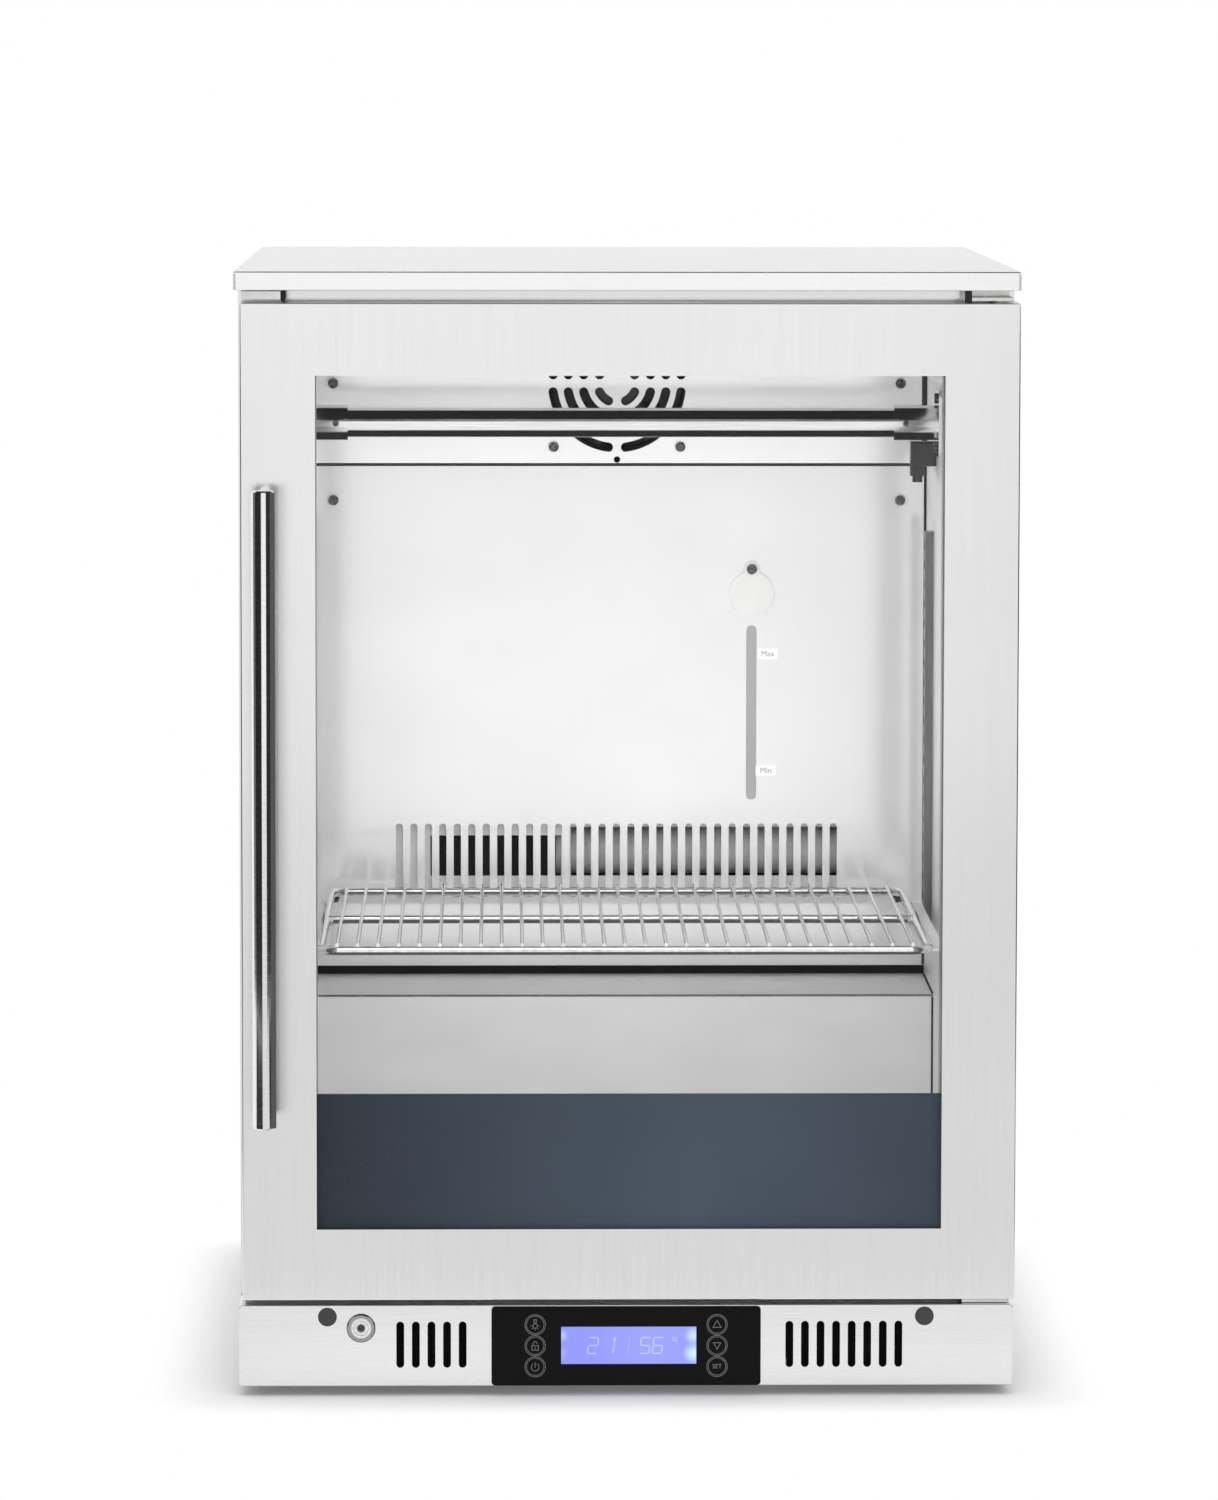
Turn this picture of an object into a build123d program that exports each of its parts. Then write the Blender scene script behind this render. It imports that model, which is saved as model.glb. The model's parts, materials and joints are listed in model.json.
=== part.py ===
from build123d import *
import math
import os

os.makedirs("parts", exist_ok=True)

# Turns, shares and counts
quarter = 90
full_turn = 360
corner_signs = (-1, 1)
blade_signs = (-1, 0, 1)
cut_over = 3.0

# Overall stack, from the floor up
foot_gap = 8.0
fascia_height = 63.0
fascia_gap = 3.8
door_height = 767.0
top_gap = 9.7
worktop_edge = 14.5

# Worktop and case
worktop_width = 600.0
worktop_depth = 600.0
worktop_overhang = 2.0
worktop_sheet = 1.2
worktop_lip = 14.0
worktop_corner = 2.5
worktop_fold = 1.6
worktop_lip_fold = 0.8
case_inset = 2.0
sheet = 1.0
rear_inset = 4.0

# Door
door_left_inset = 5.0
door_right_inset = 0.5
door_thickness = 40.0
door_sheet = 1.2
door_back_flange = 2.0
door_stile = 57.25
door_rail = 55.2
gasket_gap = 8.0
gasket_clearance = 0.3
gasket_width = 14.0
gasket_lap = 1.5
glass_lap = 12.0
glass_thickness = 4.0
glass_space = 12.0
spacer_width = 11.0
band_height = 104.5
band_thickness = 1.0
door_corner = 1.5
door_fold = 1.1

# Handle
handle_diameter = 18.0
handle_length = 487.0
handle_rise = 139.9
handle_inset = 18.8
handle_reach = 47.0
handle_chamfer = 1.2
standoff_diameter = 12.0
handle_screw_radius = 2.5
handle_screw_bite = 18.0
handle_screw_head_radius = 4.5
handle_screw_head = 3.0
head_clearance = 0.5

# Hinges, and the rail and blank beside them
hinge_inset = 15.0
hinge_depth = 16.0
pin_radius = 3.0
pin_clearance = 0.05
bush_radius = 6.0
bush_length = 16.0
bush_proud = 0.6
pin_in_door = 14.0
bracket_thickness = 2.5
bracket_seat = 0.3
bracket_width = 35.0
bracket_front = 6.0
top_bracket_gap = 1.7
top_bracket_leaf = 15.5
bottom_bracket_leaf = 46.0
bracket_edge = 3.0
blank_width = 30.0
blank_inset = 4.0
blank_height = 6.0
blank_front = 8.0
rail_left_inset = 36.0
rail_right_inset = 43.0
rail_depth = 18.0
rail_height = 12.0
rail_gap = 2.7

# Case frame and liner
frame_thickness = 2.0
side_wall = 41.0
rear_wall = 51.0
liner_sheet = 1.0
cavity_rise = 38.2
cavity_drop = 21.8
step_rise = 151.6
step_run = 225.0
step_wall = 41.0

# Back covers inside the cavity
cover_back_space = 109.0
cover_sheet = 1.0
cover_bottom_gap = 7.4
cover_seam_drop = 67.4
cover_seam_gap = 0.8
cover_top_gap = 2.0
fan_cover_side_gap = 4.0
evaporator_cover_side_gap = 1.0
return_slots = 31
return_slot_width = 6.0
return_slot_pitch = 12.05
return_slot_height = 62.0
return_slot_rise = 95.4
cable_hole_rise = 4.2
cable_hole_radius = 2.7
grille_rings = 4
grille_first_radius = 16.1
grille_pitch = 12.45
grille_slot = 7.7
grille_bridge = 6.5
cover_rail_leaf = 31.0
cover_rail_sheet = 2.0
cover_screw_inset = 22.0
cover_screw_rise = 64.4
cover_screw_drop = 29.6
screw_head_radius = 4.2
screw_head = 2.2
screw_radius = 1.8
screw_bite = 6.0
screw_recess_radius = 2.2
screw_recess = 0.9

# Circulation fan and condenser fan, both of one standard size
fan_size = 120.0
fan_thickness = 38.0
fan_bore_radius = 57.0
fan_corner = 6.0
fan_screw_offset = 52.5
fan_drop = 62.0
fan_hub_radius = 20.0
fan_hub_front = 4.0
fan_hub_back = 22.0
fan_motor_front = 24.0
fan_motor_radius = 19.0
fan_strut = 5.0
fan_shaft_radius = 2.0
fan_shaft_bite = 8.0
fan_blades = 7
fan_blade_tip = 54.0
fan_blade_root_share = 0.9
fan_blade_chord = 24.0
fan_blade_thickness = 1.6
fan_blade_pitch_angle = 35

# Water tank, gauge and fill cover
tank_inset = 145.0
tank_width = 120.0
tank_slot_gap = 4.0
tank_seam_gap = 80.6
tank_thickness = 70.0
tank_wall = 2.0
tank_gap = 2.0
gauge_width = 8.6
gauge_rise = 16.0
gauge_drop = 53.2
gauge_recess = 0.3
fill_drop = 26.5
fill_radius = 18.5
fill_hole_radius = 14.0
fill_plate = 1.5
fill_screw_rise = 20.3
fill_ear_radius = 6.5
fill_gap = 0.3

# Evaporator, and the finned coils in general
evaporator_inset = 32.0
evaporator_tank_gap = 32.0
evaporator_rise = 35.0
evaporator_drop = 30.6
evaporator_cover_gap = 17.0
evaporator_thickness = 70.0
coil_tube_radius = 4.5
coil_tubes = 6
coil_fins = 15
fin_sheet = 0.8
end_plate = 2.0

# Hanging rod
rod_diameter = 23.5
rod_wall = 1.5
rod_cover_gap = 168.0
rod_drop = 84.6
rod_end_gap = 4.0
socket_diameter = 28.2
socket_length = 35.0
rod_plate = 3.0
rod_plate_width = 44.0
rod_plate_height = 54.0
rod_plate_corner = 6.0
rod_screw_offset = 19.5
grub_radius = 2.5
grub_from_end = 9.4

# Humidity sensor
sensor_width = 21.0
sensor_cover_gap = 121.0
sensor_thickness = 13.0
sensor_drop = 123.0
sensor_height = 20.0
sensor_neck_width = 12.0
sensor_neck = 8.0
gland_radius = 4.2
gland_length = 5.0
sensor_corner = 1.5

# Shelf, its rails and the toothed strips that carry them
shelf_rod_radius = 3.5
shelf_wire_radius = 1.4
shelf_weld = 0.5
shelf_front = 60.0
shelf_cover_gap = 28.0
shelf_middle_share = 0.517
shelf_side_gap = 20.5
shelf_rise = 73.2
shelf_corner = 15.0
shelf_wires = 29
shelf_wire_edge = 13.06
shelf_wire_tail = 6.0
shelf_seat = 0.3
shelf_rail_sheet = 2.0
shelf_rail_leaf = 19.0
shelf_rail_drop = 14.0
shelf_rail_front_over = 15.0
shelf_rail_back_over = 20.0
strip_thickness = 7.0
strip_width = 12.0
strip_front = 110.0
strip_cover_gap = 88.0
strip_rise = 50.4
strip_drop = 48.6
tooth_pitch = 16.0
tooth_height = 6.0
tooth_depth = 3.0

# Lamp in the ceiling of the cavity
lamp_length = 300.0
lamp_width = 24.0
lamp_height = 8.0
lamp_front = 80.0
lamp_corner = 3.0

# Fascia and controls
fascia_sheet = 1.0
fascia_corner = 2.5
fascia_fold = 0.9
fascia_top_leaf = 44.0
vent_width = 6.0
vent_pitch = 12.0
vent_height = 36.0
vent_rise = 0.8
vent_glass_gap = 22.2
vent_lock_gap = 24.0
vent_plug_gap = 14.0
glass_panel_width = 207.2
glass_panel_edge = 0.75
glass_panel_thickness = 2.5
glass_panel_corner = 3.0
display_width = 104.0
display_height = 29.0
display_x = 2.0
display_rise = 0.5
display_recess = 0.3
display_module = 8.0
board_side = 8.6
board_edge = 5.75
board_thickness = 1.6
plug_inset = 68.2
plug_drop = 9.0
plug_radius = 7.25
plug_dome = 1.6
plug_stem_radius = 4.5
plug_stem = 5.0

# Door lock
lock_inset = 94.1
lock_drop = 17.6
lock_flange_radius = 11.1
lock_flange = 2.0
lock_tube_radius = 9.8
lock_barrel_radius = 8.4
lock_tube = 20.0
lock_barrel_recess = 0.5
lock_tail_radius = 4.0
lock_barrel_back = 20.5
cam_gap = 1.5
cam_thickness = 2.5
cam_reach = 28.0
cam_width = 9.0
cam_clearance = 1.5
cam_slot_side = 26.0
keyway_radius = 3.3
keyway_depth = 1.2
keyway_slot = 1.4

# Base and feet
base_sheet = 2.0
base_rise = 4.0
base_window_rise = 8.0
base_window_drop = 9.0
base_window_first = 112.0
base_window_inset = 81.0
foot_radius = 18.0
foot_pad = 5.0
foot_stem_radius = 5.0
foot_stem_spare = 3.0
foot_nut_radius = 9.0
foot_nut = 12.0
foot_inset = 36.0
foot_front = 82.0
foot_back_inset = 38.0
foot_travel = 15.0
foot_clearance = 0.05

# Compressor
compressor_inset = 123.0
compressor_back = 120.0
compressor_radius = 74.0
compressor_side = 110.0
compressor_dome = 42.0
compressor_plate = 3.0
compressor_plate_x = 95.0
compressor_plate_y = 66.0
mount_x = 82.0
mount_y = 54.0
mount_radius = 11.0
mount_height = 20.0
terminal_size = 46.0
terminal_reach = 26.0
terminal_rise = 43.0

# Condenser, its fan, drier, pipes and tray
condenser_offset = 340.0
condenser_thickness = 52.0
condenser_back = 198.0
condenser_rear_gap = 50.0
condenser_head = 31.6
condenser_fan_back = 116.0
drier_offset = 141.0
drier_back = 38.0
drier_rise = 56.0
drier_radius = 9.5
drier_length = 95.0
drier_cone = 14.0
pipe_radius = 3.0
pipe_bend = 9.0
pipe_bite = 4.0
pipe_lane = 20.0
pipe_riser = 46.0
pipe_stub = 15.0
capillary_radius = 1.5
tray_offset = 223.0
tray_width = 60.0
tray_length = 140.0
tray_height = 34.0
tray_wall = 1.5

# Rear panel
rear_vents = 16
rear_vent_pitch = 24.0
rear_vent_width = 9.0
rear_vent_height = 110.0
rear_vent_rise = 116.0
inlet_inset = 73.0
inlet_rise = 30.0
inlet_width = 49.0
inlet_height = 28.0
inlet_body = 22.0
inlet_proud = 2.0
inlet_flange = 3.0
inlet_mouth_width = 24.0
inlet_mouth_height = 16.5
inlet_mouth_depth = 15.0
blade_width = 4.0
blade_thickness = 2.0
blade_length = 12.0
blade_spacing = 7.0

# Heights that follow from the sizes above
fascia_low = foot_gap
fascia_high = fascia_low + fascia_height
fascia_middle = (fascia_low + fascia_high) / 2
door_low = fascia_high + fascia_gap
door_high = door_low + door_height
door_middle_z = (door_low + door_high) / 2
worktop_low = door_high + top_gap
worktop_high = worktop_low + worktop_edge
case_top = worktop_high - worktop_sheet
base_low = fascia_low + base_rise
base_high = base_low + base_sheet
foot_stem_top = base_high + foot_nut + foot_travel + foot_stem_spare
window_low = door_low + door_rail
window_high = door_high - door_rail
handle_low = door_low + handle_rise
cavity_floor = door_low + cavity_rise
cavity_ceiling = door_high - cavity_drop
liner_floor = cavity_floor - liner_sheet
liner_ceiling = cavity_ceiling + liner_sheet
step_top = cavity_floor + step_rise
room_ceiling = step_top - step_wall
fan_middle_z = cavity_ceiling - fan_drop
cover_seam = fan_middle_z - cover_seam_drop
return_slot_middle = step_top + return_slot_rise
tank_low = return_slot_middle + return_slot_height / 2 + tank_slot_gap
tank_high = cover_seam - tank_seam_gap
gauge_low = tank_low + gauge_rise
gauge_high = tank_high - gauge_drop
fill_z = tank_high - fill_drop
fill_screw_z = fill_z + fill_screw_rise
evaporator_low_z = tank_low + evaporator_rise
evaporator_height = cover_seam - evaporator_drop - evaporator_low_z
rod_z = cavity_ceiling - rod_drop
sensor_low_z = cavity_ceiling - sensor_drop
shelf_z = step_top + shelf_rise
strip_low = step_top + strip_rise
strip_high = cover_seam - strip_drop
plug_z = fascia_high - plug_drop
lock_z = fascia_high - lock_drop
display_z = fascia_middle + display_rise
condenser_height = room_ceiling - condenser_head - base_high
drier_low = base_high + drier_rise
inlet_z = base_high + inlet_rise

# Places across the width
case_width = worktop_width - 2 * case_inset
case_half = case_width / 2
inner_half = case_half - sheet
cavity_half = case_half - side_wall
liner_half = cavity_half + liner_sheet
door_left = door_left_inset - worktop_width / 2
door_right = worktop_width / 2 - door_right_inset
door_width = door_right - door_left
door_middle_x = (door_left + door_right) / 2
window_left = door_left + door_stile
window_right = door_right - door_stile
hinge_x = door_right - hinge_inset
handle_x = door_left + handle_inset
cover_screw_x = cavity_half - cover_screw_inset
tank_x = cavity_half - tank_inset
evaporator_low_x = evaporator_inset - cavity_half
evaporator_width = tank_x - tank_width / 2 - evaporator_tank_gap - evaporator_low_x
sensor_low_x = cavity_half - sensor_width
shelf_width = 2 * (cavity_half - shelf_side_gap)
shelf_wire_pitch = (shelf_width - 2 * shelf_wire_edge) / (shelf_wires - 1)
plug_x = case_half - plug_inset
lock_x = lock_inset - case_half
vent_first_x = glass_panel_width / 2 + vent_glass_gap
left_vents = int((-lock_x - vent_lock_gap - vent_first_x) // vent_pitch) + 1
right_vents = int((plug_x - vent_plug_gap - vent_first_x) // vent_pitch) + 1
foot_x = case_half - foot_inset
compressor_x = case_half - compressor_inset
condenser_low_x = compressor_x - condenser_offset
drier_x = compressor_x - drier_offset
tray_low_x = compressor_x - tray_offset
inlet_x = inlet_inset - case_half

# Depths, measured from the face of the door
case_depth = worktop_depth - worktop_overhang
cavity_depth = case_depth - rear_wall
step_depth = cavity_depth - step_run
cover_depth = cavity_depth - cover_back_space
rod_depth = cover_depth - rod_cover_gap
sensor_front = cover_depth - sensor_cover_gap
evaporator_front = cover_depth + evaporator_cover_gap
shelf_back = cover_depth - shelf_cover_gap
shelf_middle = shelf_front + (shelf_back - shelf_front) * shelf_middle_share
strip_back = cover_depth - strip_cover_gap
foot_back = case_depth - foot_back_inset
compressor_depth = case_depth - compressor_back
condenser_front = case_depth - condenser_back
condenser_length = condenser_back - condenser_rear_gap
condenser_fan_depth = case_depth - condenser_fan_back
drier_depth = case_depth - drier_back

# The same as places along Y, with the whole object centred on its origin
front_y = (handle_reach - case_depth) / 2
back_y = front_y + case_depth


def at_depth(distance):
    return front_y + distance


door_back = at_depth(door_thickness)
frame_front = at_depth(door_thickness + gasket_gap)
frame_back = frame_front + frame_thickness
panel_back = back_y - rear_inset
panel_front = panel_back - sheet
liner_back = at_depth(cavity_depth) + liner_sheet
step_face = at_depth(step_depth)
room_front = step_face + step_wall
cover_y = at_depth(cover_depth)
cover_back = cover_y + cover_sheet
hinge_y = at_depth(hinge_depth)


def slab(x_low, x_high, y_low, y_high, z_low, z_high):
    middle = Pos((x_low + x_high) / 2, (y_low + y_high) / 2, (z_low + z_high) / 2)
    return middle * Box(x_high - x_low, y_high - y_low, z_high - z_low)


def drum_x(x_low, x_high, y, z, radius):
    return Pos((x_low + x_high) / 2, y, z) * Rot(0, quarter, 0) * Cylinder(radius, x_high - x_low)


def drum_y(x, y_low, y_high, z, radius):
    return Pos(x, (y_low + y_high) / 2, z) * Rot(quarter, 0, 0) * Cylinder(radius, y_high - y_low)


def drum_z(x, y, z_low, z_high, radius):
    return Pos(x, y, (z_low + z_high) / 2) * Cylinder(radius, z_high - z_low)


# A flat outline in X and Z, stood upright and given its thickness in Y
def upright(outline, x, z, y_low, y_high):
    return Pos(x, y_high, z) * Rot(quarter, 0, 0) * extrude(outline, y_high - y_low)


def upright_slot(x, z, width, height, y_low, y_high):
    return upright(SlotOverall(height, width, rotation=quarter), x, z, y_low, y_high)


def ring_slab(outer, inner, y_low, y_high):
    x_low, x_high, z_low, z_high = outer
    hole_left, hole_right, hole_low, hole_high = inner
    plate = slab(x_low, x_high, y_low, y_high, z_low, z_high)
    hole = slab(hole_left, hole_right, y_low - cut_over, y_high + cut_over, hole_low, hole_high)
    return plate - hole


def save(node, *shapes):
    solids = [solid for shape in shapes for solid in shape.solids()]
    whole = solids[0] if len(solids) == 1 else Compound(solids)
    whole.label = node
    export_step(whole, f"parts/{node}.step")


# Pan head with a round driver recess, facing the front
def front_screw(x, y, z, bite):
    head = drum_y(x, y - screw_head, y, z, screw_head_radius)
    recess = drum_y(x, y - screw_head - cut_over, y - screw_head + screw_recess, z, screw_recess_radius)
    return head + drum_y(x, y, y + bite, z, screw_radius) - recess


# Worktop: a folded pan with a lip turned in under its front edge
def make_worktop():
    half = worktop_width / 2
    front = front_y - worktop_overhang
    middle_y = (front + back_y) / 2
    outline = RectangleRounded(worktop_width, worktop_depth, worktop_corner)
    block = Pos(0, middle_y, worktop_low) * extrude(outline, worktop_edge)
    block = fillet(block.edges().group_by(Axis.Z)[-1], worktop_fold)
    block = fillet(block.edges().group_by(Axis.Z)[0], worktop_lip_fold)
    left, right = worktop_sheet - half, half - worktop_sheet
    hollow = slab(left, right, front + worktop_sheet, back_y - worktop_sheet, worktop_low - cut_over,
                  case_top)
    lip = slab(left, right, front + worktop_sheet, front + worktop_lip, worktop_low,
               worktop_low + worktop_sheet)
    return block - hollow + lip


# Sheets of the case: two sides, the top, the floor and the two sheets of the machine room
def make_case_panels():
    top_low = case_top - sheet
    sides = [slab(min(side * case_half, side * inner_half), max(side * case_half, side * inner_half),
                  frame_back, panel_back, fascia_low, case_top) for side in corner_signs]
    top = slab(-inner_half, inner_half, frame_back, panel_back, top_low, case_top)
    floor = slab(-inner_half, inner_half, frame_back, room_front - sheet, fascia_high, fascia_high + sheet)
    wall = slab(-inner_half, inner_half, room_front - sheet, room_front, fascia_high, room_ceiling)
    ceiling = slab(-inner_half, inner_half, room_front - sheet, panel_front, room_ceiling,
                   room_ceiling + sheet)
    return sides + [top, floor, wall, ceiling]


# Foam boards between the case sheets and the liner
def make_insulation():
    top = case_top - sheet
    room_top = room_ceiling + sheet
    boards = []
    for side in corner_signs:
        low, high = sorted((side * liner_half, side * inner_half))
        boards.append(slab(low, high, frame_back, panel_front, room_top, top))
        boards.append(slab(low, high, frame_back, room_front - sheet, fascia_high + sheet, room_top))
    foam_face = step_face + liner_sheet
    foam_step = step_top - liner_sheet
    boards.append(slab(-liner_half, liner_half, frame_back, panel_front, liner_ceiling, top))
    boards.append(slab(-liner_half, liner_half, liner_back, panel_front, room_top, liner_ceiling))
    boards.append(slab(-liner_half, liner_half, frame_back, foam_face, fascia_high + sheet, liner_floor))
    boards.append(slab(-liner_half, liner_half, foam_face, room_front - sheet, fascia_high + sheet,
                       room_top))
    boards.append(slab(-liner_half, liner_half, foam_face, liner_back, room_top, foam_step))
    return boards


# Liner of the cavity, stepped over the machine room
def make_liner():
    outer = slab(-liner_half, liner_half, frame_back, liner_back, step_top - liner_sheet, liner_ceiling)
    outer += slab(-liner_half, liner_half, frame_back, step_face + liner_sheet, liner_floor, step_top)
    inner = slab(-cavity_half, cavity_half, frame_back - cut_over, liner_back - liner_sheet, step_top,
                 cavity_ceiling)
    inner += slab(-cavity_half, cavity_half, frame_back - cut_over, step_face, cavity_floor,
                  step_top + cut_over)
    return outer - inner


# Front frame that the gasket meets, with the rail seen above the door
def make_front_frame():
    frame = ring_slab((-case_half, case_half, fascia_high, case_top),
                      (-cavity_half, cavity_half, cavity_floor, cavity_ceiling), frame_front, frame_back)
    rail_low = door_high + rail_gap
    frame += slab(rail_left_inset - case_half, case_half - rail_right_inset, frame_front - rail_depth,
                  frame_front, rail_low, rail_low + rail_height)
    return frame - bracket_screw_holes()


def make_rear_panel():
    panel = slab(-inner_half, inner_half, panel_front, panel_back, base_low, case_top - sheet)
    first = -(rear_vents - 1) * rear_vent_pitch / 2
    middle_z = base_high + rear_vent_rise
    slots = [upright_slot(first + index * rear_vent_pitch, middle_z, rear_vent_width, rear_vent_height,
                          panel_front - cut_over, panel_back + cut_over) for index in range(rear_vents)]
    mouth = slab(inlet_x - inlet_width / 2, inlet_x + inlet_width / 2, panel_front - cut_over,
                 panel_back + cut_over, inlet_z - inlet_height / 2, inlet_z + inlet_height / 2)
    return panel - slots - mouth


# Base pan with its front upstand, air windows and the nuts of the feet
def make_base_pan():
    pan = slab(-inner_half, inner_half, frame_front, panel_front, base_low, base_high)
    pan += slab(-inner_half, inner_half, frame_front, frame_back, base_low, fascia_high)
    for side in corner_signs:
        low, high = sorted((side * base_window_first, side * (case_half - base_window_inset)))
        pan -= slab(low, high, frame_front - cut_over, frame_back + cut_over, base_low + base_window_rise,
                    fascia_high - base_window_drop)
    for side in corner_signs:
        for distance in (foot_front, foot_back):
            x = side * foot_x
            y = at_depth(distance)
            pan += drum_z(x, y, base_high, base_high + foot_nut, foot_nut_radius)
            pan -= drum_z(x, y, base_low - cut_over, base_high + foot_nut + cut_over,
                          foot_stem_radius + foot_clearance)
    return pan - bracket_screw_holes()


def make_foot(side, distance):
    x = side * foot_x
    y = at_depth(distance)
    pad = drum_z(x, y, 0, foot_pad, foot_radius)
    return pad + drum_z(x, y, foot_pad, foot_stem_top, foot_stem_radius)


# Folded steel frame of the door
def make_door_frame():
    inner_back = door_back - door_back_flange
    outline = RectangleRounded(door_width, door_height, door_corner)
    block = upright(outline, door_middle_x, door_middle_z, front_y, inner_back)
    block = fillet(block.edges().group_by(Axis.Y)[0], door_fold)
    hollow = slab(door_left + door_sheet, door_right - door_sheet, front_y + door_sheet,
                  inner_back + cut_over, door_low + door_sheet, door_high - door_sheet)
    window = slab(window_left, window_right, front_y - cut_over, front_y + door_sheet + cut_over,
                  window_low, window_high)
    holes = [drum_y(handle_x, front_y - cut_over, front_y + door_sheet + cut_over, z, handle_screw_radius)
             for z in standoff_heights()]
    return block - hollow - window - holes - bush_holes() - keeper_slot()


# Plastic profile that fills the steel frame and holds the glass
def make_door_profile():
    inner_back = door_back - door_back_flange
    inner_front = front_y + door_sheet
    outer = (door_left + door_sheet, door_right - door_sheet, door_low + door_sheet, door_high - door_sheet)
    window = (window_left, window_right, window_low, window_high)
    body = ring_slab(outer, window, inner_front, inner_back)
    body += ring_slab((door_left, door_right, door_low, door_high), window, inner_back, door_back)
    pocket = slab(window_left - glass_lap, window_right + glass_lap, inner_front - cut_over,
                  glass_back(), window_low - glass_lap, window_high + glass_lap)
    heads = [drum_y(handle_x, inner_front - cut_over, inner_front + handle_screw_head + head_clearance, z,
                    handle_screw_head_radius + head_clearance) for z in standoff_heights()]
    return body - pocket - heads - bush_holes() - keeper_slot()


def glass_back():
    return front_y + door_sheet + glass_thickness * 2 + glass_space


def standoff_heights():
    inset = standoff_diameter / 2
    return (handle_low + inset, handle_low + handle_length - inset)


def bush_spans():
    return ((door_low - bush_proud, door_low - bush_proud + bush_length),
            (door_high + bush_proud - bush_length, door_high + bush_proud))


def bush_holes():
    return [drum_z(hinge_x, hinge_y, low, high, bush_radius) for low, high in bush_spans()]


# Space in the door's underside that the lock's cam turns up into
def keeper_slot():
    cam_front = lock_cam_front()
    return slab(lock_x - cam_width / 2 - cam_clearance, lock_x + cam_slot_side, cam_front - cam_clearance,
                cam_front + cam_thickness + cam_clearance, door_low - cut_over,
                lock_z + cam_reach + cam_clearance)


def lock_cam_front():
    return at_depth(lock_barrel_back + cam_gap)


def make_glass():
    x_low, x_high = window_left - glass_lap, window_right + glass_lap
    z_low, z_high = window_low - glass_lap, window_high + glass_lap
    outer_front = front_y + door_sheet
    outer_back = outer_front + glass_thickness
    inner_front = outer_back + glass_space
    outer = slab(x_low, x_high, outer_front, outer_back, z_low, z_high)
    inner = slab(x_low, x_high, inner_front, inner_front + glass_thickness, z_low, z_high)
    bar = spacer_width
    spacer_hole = (x_low + bar, x_high - bar, z_low + bar, z_high - bar)
    spacer = ring_slab((x_low, x_high, z_low, z_high), spacer_hole, outer_back, inner_front)
    band = slab(x_low + bar, x_high - bar, outer_back, outer_back + band_thickness, z_low + bar,
                window_low + band_height)
    return outer, inner, spacer, band


def make_gasket():
    inner_half = cavity_half + gasket_lap
    inner_low, inner_high = cavity_floor - gasket_lap, cavity_ceiling + gasket_lap
    outer = (-inner_half - gasket_width, inner_half + gasket_width, inner_low - gasket_width,
             inner_high + gasket_width)
    inner = (-inner_half, inner_half, inner_low, inner_high)
    return ring_slab(outer, inner, door_back, frame_front - gasket_clearance)


def handle_y():
    return front_y - handle_reach + handle_diameter / 2


def make_handle():
    bar = drum_z(handle_x, handle_y(), handle_low, handle_low + handle_length, handle_diameter / 2)
    bar = chamfer(bar.edges().filter_by(GeomType.CIRCLE), handle_chamfer)
    clear_bar = drum_z(handle_x, handle_y(), handle_low - cut_over, handle_low + handle_length + cut_over,
                       handle_diameter / 2)
    standoffs = []
    screws = []
    inner_front = front_y + door_sheet
    for z in standoff_heights():
        post = drum_y(handle_x, handle_y(), front_y, z, standoff_diameter / 2) - clear_bar
        post -= drum_y(handle_x, front_y - handle_screw_bite, front_y + cut_over, z, handle_screw_radius)
        standoffs.append(post)
        screw = drum_y(handle_x, front_y - handle_screw_bite, inner_front, z, handle_screw_radius)
        screw += drum_y(handle_x, inner_front, inner_front + handle_screw_head, z, handle_screw_head_radius)
        screws.append(screw)
    return bar, standoffs, screws


def make_bushes():
    (low, low_top), (high_bottom, high) = bush_spans()
    bore = pin_radius + pin_clearance
    bottom = drum_z(hinge_x, hinge_y, low, low_top, bush_radius)
    bottom -= drum_z(hinge_x, hinge_y, low - cut_over, low + pin_in_door, bore)
    top = drum_z(hinge_x, hinge_y, high_bottom, high, bush_radius)
    top -= drum_z(hinge_x, hinge_y, high - pin_in_door, high + cut_over, bore)
    return bottom, top


def bracket_levels():
    bottom_top = door_low - bush_proud - bracket_seat
    top_low = door_high + top_bracket_gap
    return bottom_top - bracket_thickness, bottom_top, top_low, top_low + bracket_thickness


def bracket_sides():
    right = case_half - sheet - bracket_edge
    return right - bracket_width, right


def bracket_screw_places():
    left, right = bracket_sides()
    inset = bracket_width / 4
    bottom_low, bottom_top, top_low, top_high = bracket_levels()
    high_z = top_high + top_bracket_leaf / 2
    low_z = bottom_low - bottom_bracket_leaf / 2
    return [(x, z) for x in (left + inset, right - inset) for z in (high_z, low_z)]


def bracket_screw_holes():
    front = frame_front - bracket_thickness - cut_over
    return [drum_y(x, front, frame_back + cut_over, z, screw_radius) for x, z in bracket_screw_places()]


def make_bracket_screws():
    front = frame_front - bracket_thickness
    return [front_screw(x, front, z, frame_back - front) for x, z in bracket_screw_places()]


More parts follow.
